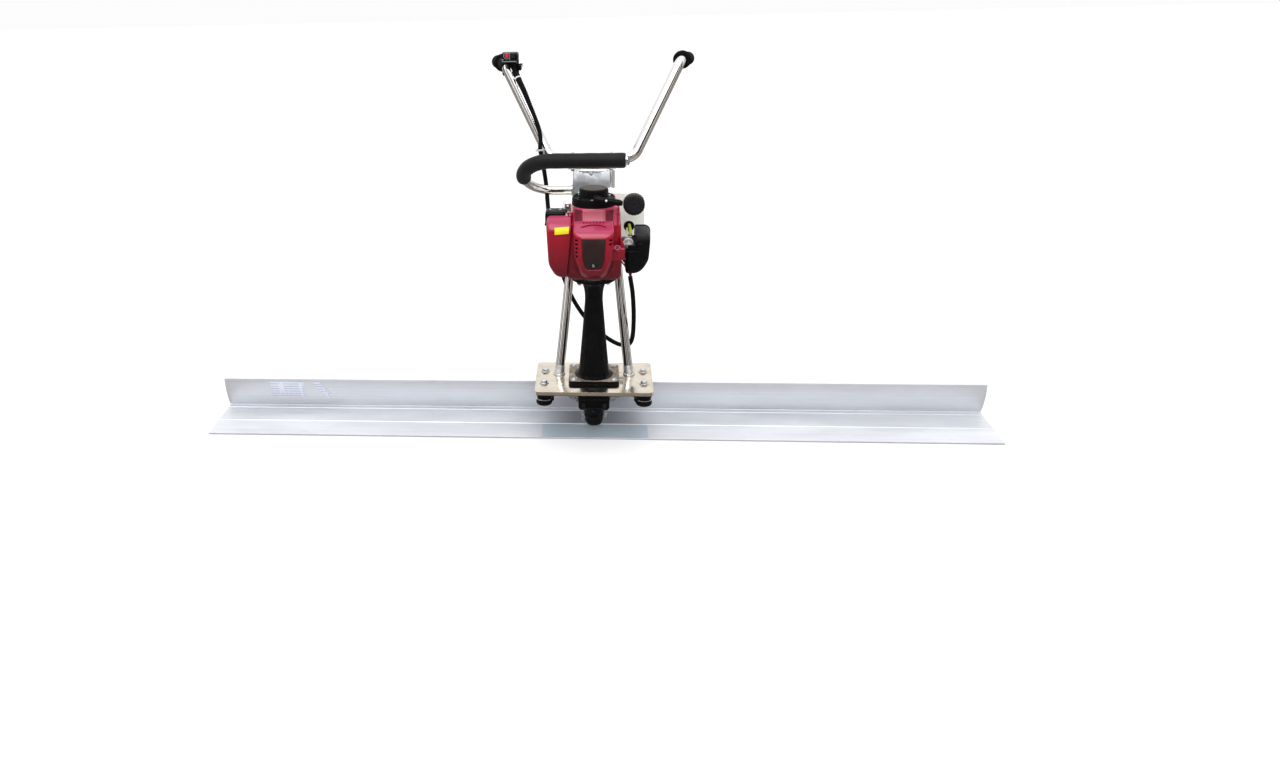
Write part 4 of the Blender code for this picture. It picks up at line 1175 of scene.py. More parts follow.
def make_switch_box():
    """The two-part switch box with button, rocker, seams, screws and the throttle lever."""
    low, high = cad("switch_box")
    shell = block(low, high, 4.0, 4)
    box = piece("switch_shell", shell, "plastic", "handlebar", "switch_box")
    button = middle("stop_switch") + Vector((0, 0, 5.5))
    high.z += 3
    axis = joint_place("handlebar_tilt")
    bend = axis - Vector((BAR_BEND_X, 0, 0))
    bar = bent_path([grip_point(-1, 135), grip_point(-1, 0), bend, axis], BAR_BEND_R, 14)
    carve(box, [sweep(bar, HANDLE_R + 0.4, 40),
                rod(6.6, (button.x, low.y - 5, button.z), (button.x, low.y + 9, button.z)),
                block((low.x + 22, low.y - 2, 835), (high.x - 4, low.y + 3, 847), 1.0),
                block((low.x - 3, low.y - 3, low.z - 3), (high.x + 3, 282, 829), 2.5),
                block((low.x - 2, 277, low.z - 2), (high.x + 2, 277.8, high.z + 2))])
    held = [p for p in bar if p.z > CLAMP_LOW_Z and p.y < CLAMP_BACK_Y]
    piece("switch_clamp", sweep(held, 15.8, 40), "plastic", "handlebar")
    trim = [block((low.x + 2, low.y - 0.9, 827.5), (high.x - 2, low.y + 1, 830.2), 0.8),
            block((low.x + 20.4, low.y - 0.8, 831), (low.x + 22.0, low.y + 1, 849), 0.6),
            turned([(6.8, 0.9), (8.2, 0.9), (8.6, 0.4), (8.6, -0.6), (6.8, -0.6)],
                   (button.x, low.y, button.z), FRONT, 36, closed=True)]
    piece("switch_trim", trim, "grey", "handlebar")
    rocker = block((low.x + 24, low.y - 0.6, 836.5), (high.x - 6, low.y + 2, 845.5), 1.2)
    piece("switch_rocker", rocker, "textured", "handlebar")
    screws = []
    for x, y, z in ((low.x + 5, 282, low.z + 6), (high.x - 5, 282, 822), (low.x + 4, low.y, 833)):
        screws += screw_head((x, y - 0.2, z), FRONT, 2.2, 1.2)
    piece("switch_screws", screws, "zinc", "handlebar")
    cap = turned([(0, 7.3), (4.2, 7.1), (5.2, 6.2), (5.7, 4.6), (5.7, 0), (0, 0)],
                 (button.x, cad("stop_switch")[1].y, button.z), FRONT, 36)
    piece("stop_button", cap, "signal", "stop_switch", "stop_switch")
    pivot = joint_place("throttle_squeeze")
    base, y, z = cad("throttle_lever")[0].x, pivot.y, pivot.z
    disc = rod(8, (base, y, z), (base + 7, y, z), 36, 1.2)
    outline = rounded_outline([(y - 4, z - 4, 2), (y + 40, z - 4.6, 3), (y + 57, z - 3, 2.5),
                               (y + 57, z + 3, 2.5), (y + 38, z + 3.2, 3), (y - 4, z + 4, 2)], 5)
    blade = slab(outline, base + 1, base + 6, "YZ", 1.2, 3)
    piece("throttle_blade", [disc, blade], "plastic", "throttle_lever", "throttle_lever")
    piece("throttle_pivot", screw_head((base + 7, y, z), RIGHT, 4.0, 1.4), "zinc",
          "throttle_lever")


# ---------------------------------------------------------------- engine covers

SHROUD_Z = cad("engine_shroud")[0].z

# height, left, right, front and front corner radius of the shroud's level outlines
BODY_LEVELS = [(SHROUD_Z - 0.4, -44, 46, -54, 20), (SHROUD_Z + 0.6, -51, 53, -63, 16),
               (SHROUD_Z + 4, -57, 58, -70, 12), (SHROUD_Z + 10, -60.4, 59.6, -73.5, 9),
               (SHROUD_Z + 18, -61.4, 60, -74.5, 7), (SHROUD_Z + 34, -60.0, 60, -74.5, 6),
               (450, -55.5, 60, -74, 6), (500, -51.5, 59.5, -73, 7), (509, -50, 59, -71.5, 9)]
COLLAR_LEVELS = [(507, -50.5, 59, -70.5, 16), (513, -48, 58.4, -67, 18), (519, -47, 58, -62, 22),
                 (526, -46.6, 57.4, -57, 26), (533, -46.6, 56.6, -52.6, 30),
                 (538.5, -46.4, 55.6, -50, 33), (540, -45, 54, -48.5, 34)]


def level_outline(left, right, front, radius, back, closed):
    """Points along one level of the shroud, from its back left round the front."""
    points = []
    for i in range(9):
        points.append((left, back + (front + radius - back) * i / 8))
    points += arc((left + radius, front + radius), radius, 180, 270, 10)[1:]
    for i in range(1, 17):
        points.append((left + radius + (right - left - 2 * radius) * i / 16, front))
    points += arc((right - radius, front + radius), radius, 270, 360, 10)[1:]
    for i in range(1, 9):
        points.append((right, front + radius + (back - front - radius) * i / 8))
    if closed:
        half = (right - left) / 2
        points += [((left + right) / 2 + half * math.cos(math.radians(a)),
                    back + 8 * math.sin(math.radians(a))) for a in range(12, 180, 12)]
    return points


def collar_front(x, z):
    """The collar's front face at a place."""
    z = min(max(z, COLLAR_LEVELS[0][0]), COLLAR_LEVELS[-1][0])
    for a, b in zip(COLLAR_LEVELS, COLLAR_LEVELS[1:]):
        if z <= b[0]:
            break
    t = (z - a[0]) / (b[0] - a[0])
    left, right, front, radius = (p + (q - p) * t for p, q in zip(a[1:], b[1:]))
    over = max(left + radius - x, x - right + radius, 0.0)
    return front + radius - math.sqrt(max(radius ** 2 - over ** 2, 0.0))


def open_sheet(rows):
    """A skin over open rows of points."""
    bm = bmesh.new()
    made = [[bm.verts.new(p) for p in row] for row in rows]
    for a, b in zip(made, made[1:]):
        for i in range(len(a) - 1):
            bm.faces.new((a[i], a[i + 1], b[i + 1], b[i]))
    return bm


def patch(x0, x1, z0, z1, lift, wall, skew=0.0):
    """A raised plate that follows the collar's front."""
    rows = []
    for j in range(11):
        z = z0 + (z1 - z0) * j / 10
        shrink = skew * j / 10
        rows.append([(x, collar_front(x, z) - lift, z) for x in
                     (x0 + shrink + (x1 - x0 - 2 * shrink) * i / 18 for i in range(19))])
    return thickened(open_sheet(rows), wall)


def make_shroud():
    """The red shroud: an open-backed body and a round collar with grilles under the starter."""
    rows = [[(x, y, z) for x, y in level_outline(left, right, front, radius, 20, False)]
            for z, left, right, front, radius in BODY_LEVELS]
    body = piece("shroud_body", thickened(open_sheet(rows), 2.2), "red", "frame",
                 "engine_shroud", 40)
    carve(body, block((-36, -90, 418), (36, -60, 500), 4))
    rings = [[(x, y, z) for x, y in level_outline(left, right, front, radius, 38, True)]
             for z, left, right, front, radius in COLLAR_LEVELS]
    collar = loft(rings, False)
    piece("shroud_collar", collar, "red", "frame", (), 40)
    centre = patch(-22, 22.5, 513.0, 536.5, 1.3, 1.6, 1.0)
    piece("collar_panel", rounded(centre, 0.6, 2, 50), "red", "frame")
    for name, x0, x1 in (("left", -42.5, -25), ("right", 25.5, 43)):
        grille(name, x0, x1, 511.0, 537.5)
    column = block((50.5, -46, 505), (58.2, -38, 531.5), 3.0)
    ear = block((-56.5, -48, 505), (-45, -41, 533), 3.2)
    shapes = [column, ear]
    shapes.append(sweep([(55.5, collar_front(50, z) - 1.0, z) for z in range(505, 533, 3)],
                        lambda t: 2.6 - 1.0 * t, 16))
    piece("collar_ears", shapes, "red", "frame")
    piece("ear_screw", screw_head((-52, -48.2, 526), FRONT, 2.6, 1.4), "zinc", "frame")


def grille(name, x0, x1, z0, z1):
    """A crossed lattice over a black sheet on the collar, painted shade that stands for a dark
    opening.
    """
    # painted shade: a black sheet laid on the collar stands for the shade inside the opening
    piece("grille_shade_sheet_" + name, patch(x0, x1, z0, z1, 0.35, 0.5), "satin", "frame")
    pitch = 5.3
    shapes = []
    height, width = z1 - z0, x1 - x0
    for lean in (-1, 1):
        k = -int(height / pitch) - 1
        while k * pitch < width + height:
            line = []
            for step in range(29):
                z = z0 + height * step / 28
                x = x0 + k * pitch + (z - z0 if lean > 0 else z1 - z)
                if x0 <= x <= x1:
                    line.append((x, collar_front(x, z) - 0.9, z))
            if len(line) > 2:
                shapes.append(sweep(line, 0.56, 6))
            k += 1
    corners = [(x0, z0), (x1, z0), (x1, z1), (x0, z1)]
    for (xa, za), (xb, zb) in zip(corners, corners[1:] + corners[:1]):
        line = [(xa + (xb - xa) * i / 12, za + (zb - za) * i / 12) for i in range(13)]
        shapes.append(sweep([(x, collar_front(x, z) - 0.9, z) for x, z in line], 0.95, 8))
    piece("grille_" + name, shapes, "red", "frame")


def shield(half_top, top, half_mid, half_low, low, radius_top, radius_low, mid=446):
    """The front cover's outline at one depth: square shoulders and a U-shaped bottom."""
    side = [(half_top, top, radius_top), (half_mid, mid, 30), (half_low, low, radius_low)]
    return rounded_outline(mirrored(side), 8)


def make_top_cover():
    """The red cover on the cylinder, with vents, a crescent recess and a dark blank panel."""
    low, high = cad("top_cover")
    top, front = high.z, low.y
    edge = top - 13.4
    levels = [(-69, 44, top - 0.2, 41.6, 27, low.z - 9, 5, 18),
              (-82, 44, top - 2.6, 41.4, 27, low.z - 7, 5, 18),
              (-95, 43.8, top - 6.6, 41.2, 26.4, low.z - 5, 5, 18),
              (-106, 43.4, top - 9.6, 40.9, 26, low.z - 2, 5, 18),
              (-113, 42.8, top - 11.4, 40.4, 25.4, low.z + 2, 5.5, 18),
              (-118, 41.7, edge, 39.4, 24.6, low.z + 6, 6, 17),
              (-121.2, 39.8, edge - 2.6, 37.6, 23.4, low.z + 10, 6, 16),
              (-123.8, 36.8, edge - 5.2, 34.6, 22, low.z + 13.6, 6, 15),
              (-125.4, 33.4, edge - 7.2, 31.2, 20.6, low.z + 16.4, 5, 13),
              (-126.3, 29.8, edge - 8.8, 27.6, 19, low.z + 18.8, 5, 12),
              (front, 27.8, edge - 9.6, 25.6, 18, low.z + 20.4, 4.5, 11),
              (-127.3, 26.6, edge - 10.4, 24.4, 17.4, low.z + 21.4, 4, 10),
              (-126.2, 25.8, edge - 11.0, 23.6, 16.9, low.z + 22.2, 4, 9.5)]
    rings = [[(x, y, z) for x, z in shield(*numbers)] for y, *numbers in levels]
    bm = loft(rings, False)
    cover = piece("front_cover", bm, "red", "frame", "top_cover", 40)
    walled(cover, 2.0, 40)
    slots = []
    for side, count in ((-1, 5), (1, 2)):
        lean = Matrix.Rotation(math.radians(side * 20), 4, "Y")
        for k in range(count):
            turn = Matrix.Translation((side * 41.5, -112.0, 487.5 - 9.0 * k)) @ lean
            slots.append(placed(block((-8.8, -16, -2.5), (8.8, 4.5, 2.5), 1.2, 2), turn))
    for k in range(7):
        x = (k - 3) * 7.2
        slots.append(block((x - 2.0, -79.5, 500), (x + 2.0, -75.0, 530), 0.7, 2))
    arch = []
    for i in range(25):
        x = -27.5 + 55 * i / 24
        bow = (x / 27.5) ** 2
        arch.append((x, -91.0 - 6.0 * bow, top - 5.6 - 1.9 * bow))
    slots.append(sweep(arch, lambda t: 1.6 + 4.6 * math.sin(math.pi * t) ** 0.7, 16, flat=0.9))
    carve(cover, slots)
    floor = [[(x, y, top - 9.3 + (y + 95) * 0.31) for x in (-31, -15, 0, 15, 31)]
             for y in (-102, -95, -88, -82)]
    piece("crescent_floor", thickened(open_sheet(floor), 0.8), "red", "frame")
    rim = shield(25.2, edge - 11.5, 23.0, 16.6, low.z + 22.8, 4, 9.5)
    face = shield(24.6, edge - 12.1, 22.4, 16.2, low.z + 23.4, 4, 9.5)
    dark = [[(x, y, z) for x, z in outline]
            for y, outline in ((-125.2, rim), (-126.4, rim), (-126.9, face))]
    piece("blank_panel", loft(dark), "panel", "frame")
    place = Vector((-0.5, -126.8, 433.5))
    ring = turned([(3.9, 0.8), (5.8, 0.8), (6.4, 0.2), (6.4, -0.6), (3.9, -0.6)], place,
                  FRONT, 36, closed=True)
    piece("panel_screw_seat", ring, "plastic", "frame")
    piece("panel_screw", screw_head(place, FRONT, 3.7, 1.6), "zinc", "frame")
    piece("cover_inside", block((-34, -74, 420), (34, -70.5, 505), 3), "satin", "frame")
    make_cover_arcs()


def make_cover_arcs():
    """The raised lines that follow the cover's foot, and the short lines beside its shoulder."""
    shapes = []
    for _, s in SIDES:
        line = []
        for i in range(19):
            t = i / 18
            x = 43.5 - 28.0 * t ** 1.7
            z = 438 - 50.0 * math.sin(t * math.pi / 2) ** 0.9
            line.append((s * x, -72.6 - 1.0 * math.sin(math.pi * t), z))
        shapes.append(sweep(flow(line, 3), lambda t: 0.5 + 1.9 * math.sin(math.pi * t) ** 0.5, 12))
        short = [(s * x, collar_front(s * x, z) - 0.6, z) for x, z in
                 ((27, 509.2), (32, 508.6), (37, 506.4), (42, 502.8))]
        shapes.append(sweep(flow(short, 2), 0.9, 10))
    piece("cover_lines", shapes, "red", "frame")


def make_side_ear():
    """The red lug on the right of the cover, with its gusset and a dark disc in its boss, painted
    shade for its hole.
    """
    ear = block((33, -99, 437), (67.2, -80, 464), 3.0, 4)
    gusset = slab(rounded_outline([(60, 455, 2), (67, 461, 2), (60.5, 486, 2), (57, 486, 1)], 4),
                  -90, -74, "XZ", 1.6, 3)
    rib = block((34, -84, 437), (60, -70, 463), 2.5)
    piece("cover_lug", [ear, gusset, rib], "red", "frame")
    place, axis = (51, -97.2, 465.2), (0, -0.6, 0.8)
    boss = turned([(4.2, 1.6), (6.8, 1.6), (7.6, 0.9), (8.4, -3.4), (4.2, -3.4)], place, axis, 36,
                  closed=True)
    piece("lug_boss", boss, "red", "frame")
    # painted shade: a thin dark disc inside the boss stands for the hole
    hole = turned([(0, 1.0), (4.4, 1.0), (4.4, 0.4), (0, 0.4)], place, axis, 28)
    piece("lug_hole_shade", hole, "satin", "frame")


def make_muffler():
    """The muffler, its red guard with a fold along the top, and the black box above it."""
    low, high = cad("muffler_cover")
    levels = [(-42, high.z + 4, 0), (-60, high.z + 1, 0), (-72, high.z - 6, 0),
              (-78, high.z - 11, 0.8), (-82, high.z - 15, 2.4), (-84.6, high.z - 18.5, 5.0),
              (-85.8, high.z - 22, 8.5), (low.y, high.z - 25, 12)]
    rings = []
    for y, top, inset in levels:
        outline = rounded_outline([
            (-48.5 - inset * 0.1, top, 4), (-58.0 - inset * 0.1, 392 + inset, 6),
            (-82 + inset * 0.3, 393 + inset, 22), (-99 + inset * 0.8, 420 + inset * 0.5, 40),
            (low.x + 0.4 + inset, top, 9)], 8)
        rings.append([(x, y, z) for x, z in outline])
    guard = piece("muffler_guard", loft(rings, False), "red", "frame", "muffler_cover", 40)
    walled(guard, 1.8, 40)
    slots = [block((low.x - 4, -76 + 8 * k, 420), (low.x + 3, -72.5 + 8 * k, 470), 1.5, 2)
             for k in range(4)]
    carve(guard, slots)
    low, high = cad("muffler")
    can = block(low, high, 7, 4)
    ribs = [block((low.x - 0.8, low.y + 6, z), (high.x + 0.8, high.y - 4, z + 3), 1.2)
            for z in (430, 448, 466)]
    pipe = sweep(flow([(-80, -26, 420), (-80, -20, 410), (-80, -12, 402)], 2), 6.0, 28, wall=1.2)
    flange = block((-57.5, -36, 432), (-51.5, 0, 470), 1.5)
    piece("muffler_can", [can] + ribs + [pipe, flange], "heated", "frame", "muffler")
    box = block((-107, -40, 498), (-63, 6, 530.5), 6.5, 5)
    lip = block((-108, -41, 500), (-62, 7, 505), 2.0)
    piece("outlet_box", [box, lip], "plastic", "frame")
    piece("outlet_screws", screw_head((-74, -12, 530.5), UP, 3.2, 1.6)
          + screw_head((-96, -12, 530.5), UP, 3.2, 1.6), "zinc", "frame")
    rows = []
    fold = flow([(0, -80.9, 507), (0, -83.4, 504), (0, -85.4, 500.5), (0, -86.5, 496.5),
                 (0, -86.8, 492.5)], 1.5)
    for point in fold:
        rows.append([(-84.5 + 31 * i / 12, point.y - 0.4, point.z - 0.6 + 2.4 * i / 12)
                     for i in range(13)])
    sheet = thickened(open_sheet(rows), 0.2)
    piece("blank_yellow_label", sheet, "yellow", "frame")


def make_air_cleaner():
    """The air cleaner's cover, its base plate, wing screw and seam."""
    low, high = cad("air_cleaner_cover")
    notch = 468.0
    levels = [(high.y - 3, 5.0, 0), (high.y - 10, 5.0, 0), (-40, 8.5, 0), (-52, 10.5, 0.8),
              (-58.5, 12, 3.0), (-62.4, 14, 6.6), (low.y, 17, 11.5)]
    rings = []
    for y, drop, inset in levels:
        top = high.z - drop
        outline = rounded_outline([
            (low.x - 4 + inset * 0.8, low.z - 5 + inset, 6),
            (high.x - 22 - inset * 0.2, low.z - 5 + inset, 34 - inset * 1.6),
            (high.x - 3 - inset, low.z + 26, 40 - inset * 1.8),
            (high.x - inset, top - 26, 8), (high.x - inset, top, 12),
            (91 + inset * 0.2, top, 3), (91 + inset * 0.2, notch - inset, 3),
            (low.x - 4 + inset * 0.8, notch - inset, 4)], 7)
        rings.append([(x, y, z) for x, z in outline])
    cover = piece("cleaner_cover", loft(rings), "cleaner", "frame", "air_cleaner_cover", 40)
    bead = sweep(rings[1] + rings[1][:2], 1.3, 10)
    ridge = block((low.x - 2, low.y - 0.7, 446), (102, low.y + 3, 448.0), 0.8)
    piece("cleaner_trim", [bead, ridge], "plastic", "frame")
    piece("cleaner_base", slab(rounded_outline([(64, 404, 6), (118, 404, 20), (121, 484, 10),
                                                (92, 486, 4), (92, 466, 3), (64, 464, 5)], 5),
                               high.y - 3, high.y, "XZ", 1.0, 2), "textured", "frame")
    knob = turned([(0, 9), (5, 9), (7.6, 7.6), (8, 4), (7.4, 0), (0, 0)], (101, low.y + 6, 460),
                  FRONT, 48,
                  wobble=lambda a, r, _height: -1.1 * abs(math.cos(3 * a)) if r > 5 else 0)
    piece("cleaner_knob", knob, "plastic", "frame")
    lever, bulb = joint_place("choke_turn"), middle("primer_bulb")
    sweep_room = rod(18.5, (lever.x, -59.4, lever.z), (lever.x, -51.0, lever.z), 48)
    bulb_room = rod(12.4, (bulb.x, -61.8, bulb.z), (bulb.x, -38, bulb.z), 48)
    above = block((bulb.x - 12.4, -61.8, bulb.z), (bulb.x + 12.4, -38, bulb.z + 30))
    scallop = rod(10.5, (bulb.x, -70, bulb.z + 12.5), (bulb.x, -55, bulb.z + 12.5), 40)
    carve(cover, [sweep_room, bulb_room, above, scallop])


def make_carburettor():
    """The carburettor's body, bowl, screws, throttle arm and primer."""
    low, high = cad("carburetor")
    body = block((low.x, low.y + 3, low.z + 8), (high.x, high.y, high.z - 12), 2.5)
    shapes = [body, block((low.x + 3, low.y, low.z), (high.x - 3, high.y - 6, low.z + 9), 2.0),
              block((low.x + 2, low.y, high.z - 22), (high.x - 1, high.y - 4, high.z - 12.5), 2.0),
              rod(7, (70, -30, high.z - 13), (70, -30, high.z - 2), 30, 1.2),
              rod(4.2, (80, -22, high.z - 12), (80, -22, high.z + 1), 24, 1.0)]
    piece("carburettor_body", shapes, "cast", "frame", "carburetor")
    fixings = []
    for x in (low.x + 6, high.x - 6):
        for z in (low.z + 4.5, high.z - 17):
            fixings += screw_head((x, low.y - 0.1, z), FRONT, 2.4, 1.4)
    spring = [(82 + 3.4 * math.cos(a), -46 + 10 * a / 25, 438 + 3.4 * math.sin(a))
              for a in [i * 0.5 for i in range(51)]]
    fixings.append(sweep(spring, 0.5, 6))
    fixings.append(block((70, -36, high.z - 2.2), (84, -31, high.z - 0.6), 0.5))
    piece("carburettor_fixings", fixings, "zinc", "frame")
    seat_y, centre = cad("primer_bulb")[1].y, middle("primer_bulb")
    dome = turned([(0, 15), (2.6, 14.7), (5.2, 13.2), (7.0, 10.6), (7.9, 7.4), (8.2, 4.0), (9, 2.6),
                   (9, 0.6), (8.6, 0), (0, 0)], (centre.x, seat_y, centre.z), FRONT, 48)
    piece("primer_dome", dome, "clear", "primer_bulb", "primer_bulb")
    seat = turned([(9.3, 2.0), (11.2, 2.0), (11.8, 1.4), (11.8, -2.0), (9.3, -2.0)],
                  (centre.x, seat_y, centre.z), FRONT, 48, closed=True)
    piece("primer_seat", seat, "tie", "frame")
    pivot = joint_place("choke_turn")
    low, high = cad("choke_lever")
    outline = rounded_outline([(pivot.x - 2.6, pivot.z, 0), (pivot.x + 2.6, pivot.z, 0),
                               (pivot.x + 2.2, high.z - 0.5, 1.6),
                               (pivot.x - 2.4, high.z - 0.5, 1.6)], 4)
    arm = [rod(5, (pivot.x, high.y, pivot.z), (pivot.x, low.y, pivot.z), 32, 0.8),
           slab(outline, low.y + 0.5, low.y + 4, "XZ", 0.7, 2)]
    piece("choke_arm", arm, "plastic", "choke_lever", "choke_lever")
    piece("choke_pin", screw_head((pivot.x, low.y + 0.1, pivot.z), FRONT, 2.6, 0.9), "zinc",
          "choke_lever")


def make_engine_block():
    """The crankcase as seen from behind and below: ribs, flange, cover bolts, plug and coil."""
    low, high = cad("crankcase")
    profile = [(34, high.z), (38, high.z), (40, high.z - 2), (40, 492), (38.5, 490), (38.5, 470),
               (40, 468), (40, 446), (38.5, 444), (38.5, 424), (40, 422), (40, 412), (42, 408),
               (46, 401), (46.6, 399), (46.6, low.z + 3), (45.6, low.z + 0.1), (16, low.z + 0.1),
               (16, low.z + 6), (34, low.z + 6)]
    shapes = [turned(profile, steps=72, closed=True)]
    for k in range(6):
        turn = Matrix.Rotation(math.radians(30 + 24 * k), 4, "Z")
        shapes.append(placed(block((36, -1.6, low.z + 4), (46.2, 1.6, 470), 0.8), turn))
    shapes.append(block((-22, 30, 425), (22, 43.5, 490), 4))
    engine = piece("engine_block", shapes, "cast", "frame", "crankcase")
    bore_z = middle("piston").z
    carve(engine, rod(20.5, (0, -60, bore_z), (0, -20, bore_z)))
    bolts = []
    for x, z in ((-18, 430), (18, 430), (-18, 485), (18, 485)):
        bolts += hexagon((x, 43.5, z), BACK, 7, 3.2, 5.5)
    piece("block_bolts", bolts, "zinc", "frame")
    plug = turned([(0, 10), (6.5, 10), (7.5, 9), (7.5, 5), (10, 4.4), (10, 0), (0, 0)],
                  (0, 43, 458), BACK, 48,
                  wobble=lambda a, r, _height: -0.6 * abs(math.cos(8 * a)) if r > 9 else 0)
    piece("oil_filler", plug, "plastic", "frame")
    coil = [block((-46, 12, 440), (-38, 34, 476), 2.5), block((-50, 16, 448), (-44, 30, 468), 1.5)]
    lead = sweep(flow([(-47, 22, 468), (-49, 14, 482), (-48, 0, 494), (-46, -10, 500)], 2.5), 3.2,
                 16)
    piece("ignition_coil", coil + [lead], "rubber", "frame")


def make_tank():
    """The translucent tank with its seam, neck and hose outlet, and its ribbed cap."""
    low, high = cad("fuel_tank")
    back_y, front_y = high.y, 48.5
    outline = rounded_outline([(high.x, high.z, 46), (high.x, low.z + 4, 46), (low.x, low.z, 24),
                               (low.x, 527, 14), (-46, 527, 9), (-30, high.z, 14)], 14)
    tank = slab(outline, front_y, back_y, "XZ", 13, 6)
    cap = middle("fuel_cap") + Vector((0, 0, 4.5))
    neck = turned([(16, 28), (19, 28), (19, 6), (21, 2), (24, -2), (24, -7), (16, -7)],
                  (cap.x, front_y, cap.z), FRONT, 48, closed=True)
    outlet = turned([(0, 5), (9, 5), (10, 4), (10, -2), (0, -2)], (80, front_y, 477), FRONT, 36)
    piece("tank_shell", [tank, neck, outlet], "tank", "frame", "fuel_tank", 40)
    seam_y = (front_y + back_y) / 2
    seam = [(x, seam_y, z) for x, z in outline]
    piece("tank_seam", sweep(seam + seam[:2], 1.5, 10), "tank", "frame")

    def knurl(angle, r, z):
        return -0.9 * abs(math.sin(11 * angle)) ** 6 if r > 22.5 and 5 < z < 29 else 0.0

    profile = [(0, 30.2), (1.8, 30.2), (2.4, 30.8), (3.4, 31), (17, 31), (20.4, 30.4),
               (22.8, 28.6), (24, 25.6), (24, 8), (23.2, 6.4), (21, 6), (19.8, 6), (19.8, 24),
               (0, 24)]
    cap_y = cad("fuel_cap")[1].y
    piece("tank_cap", turned(profile, (cap.x, cap_y, cap.z), FRONT, 132, wobble=knurl),
          "textured", "fuel_cap", "fuel_cap")
    bracket = [block((-66, 42, 506), (-52, 50, 531), 2.0),
               block((-60, 20, 510), (-54, 50, 516), 1.2), block((40, 40, 440), (60, 49, 446), 1.2)]
    bracket += hexagon((-59, 42, 522), FRONT, 8, 3.5, 6)
    piece("tank_bracket", bracket, "zinc", "frame")


def make_starter():
    """The recoil starter: dished housing, raised cap, screws, rope and grip."""
    low, high = cad("starter_housing")
    top, foot = high.z + 1.6, low.z + 5.7
    profile = [(0, top - 0.1), (1.4, top - 0.3), (2.2, top), (29, top - 0.4), (31.2, top - 1.6),
               (32.2, top - 4), (32.8, top - 15), (33.6, top - 18.4), (36, top - 20.6),
               (40.5, top - 22), (42.6, top - 22), (43.4, top - 20.2), (44.6, top - 18.8),
               (46.2, top - 18.8), (47.2, top - 20.2), (47.8, top - 23), (48.2, foot + 8),
               (47.4, foot + 7.2), (47.4, foot + 6.0), (48.6, foot + 5.2), (48.8, foot + 1.6),
               (47.6, foot + 0.4), (44, foot), (42.8, foot + 8), (29.5, foot + 13),
               (29.5, top - 5), (0, top - 5)]
    housing = piece("starter_cover", turned(profile, steps=96), "plastic", "frame",
                    "starter_housing", 30)
    slots = [placed(block((33.8, -2.2, top - 24), (40.5, 2.2, top - 16), 1.4, 2),
                    Matrix.Rotation(math.radians(35 + 30 * k), 4, "Z")) for k in range(7)]
    carve(housing, slots)
    disc = turned([(0, 0.5), (28.2, 0.3), (28.8, 0.1), (28.8, -0.6), (0, -0.6)], (0, 0, top),
                  steps=72)
    piece("starter_top", disc, "textured", "frame")
    screws = []
    for x, y in arc((0, 0), 38.2, -95, 145, 2):
        screws += screw_head((x, y, top - 20.6), UP, 4.2, 2.0)
    piece("starter_screws", screws, "zinc", "frame")
    guide = [sweep(flow([(2, -34, 562), (10, -42, 563), (16, -47, 562)], 2), 5.4, 24),
             block((4, -46, 553), (20, -36, 558), 2)]
    piece("rope_guide", guide, "plastic", "frame")
    rope_x, rope_y, rope_z = 14.0, -44.0, 561.5
    rope = sweep([(rope_x, rope_y - 0.5 * i, rope_z) for i in range(17)], 1.7, 14)
    line = piece("pull_rope", rope, "rope", None)
    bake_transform(line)

    def waist(t):
        return 7.5 + 0.9 * t - 1.8 * math.exp(-(t * 14) ** 2) - 2.4 * math.exp(-((1 - t) * 14) ** 2)

    bar = flow([(1, -53, 562.5), (16, -54.4, 561.2), (34, -54.6, 558.4), (50, -54.2, 555.6),
                (62, -53.4, 553.4)], 1.2)
    stem = rod(5.6, (15, -47.6, 561.4), (15, -55, 561.2), 28, 1.0)
    grip = [sweep(bar, waist, 32, flat=0.86), stem]
    piece("pull_grip", grip, "plastic", "starter_grip", "starter_grip", 50)
    piece("grip_rivet", turned([(0, 1.2), (2.2, 1.0), (3.0, 0.2), (3.0, -0.8), (0, -0.8)],
                               (27, -61.4, 561), (0, -0.9, 0.4), 28), "zinc", "starter_grip")


# ---------------------------------------------------------------- cables, hoses and wires

def cable_line():
    """The sheath's line from the switch box, past the head and the plate, to the engine."""
    upper = [(-186, 252, 800), (-178, 236, 786), (-167, 226, 765),
             (-157, 219, 742), (-133, 200, 684), (-126, 190, 652)]
    lower = [(-127, 181, 630), (-121, 190, 590), (-115, 200, 540), (-109, 160, 490),
             (-98, 118, 420), (-76, 112, 345), (-50, 108, 280), (-14, 104, 226), (29, 100, 186),
             (66, 96, 168), (88, 78, 184), (93, 60, 240), (90, 45, 310), (83, 30, 360)]
    return upper + lower


def follow_bar(obj):
    """Bakes a piece of the sheath where it lies, on no body."""
    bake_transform(obj)


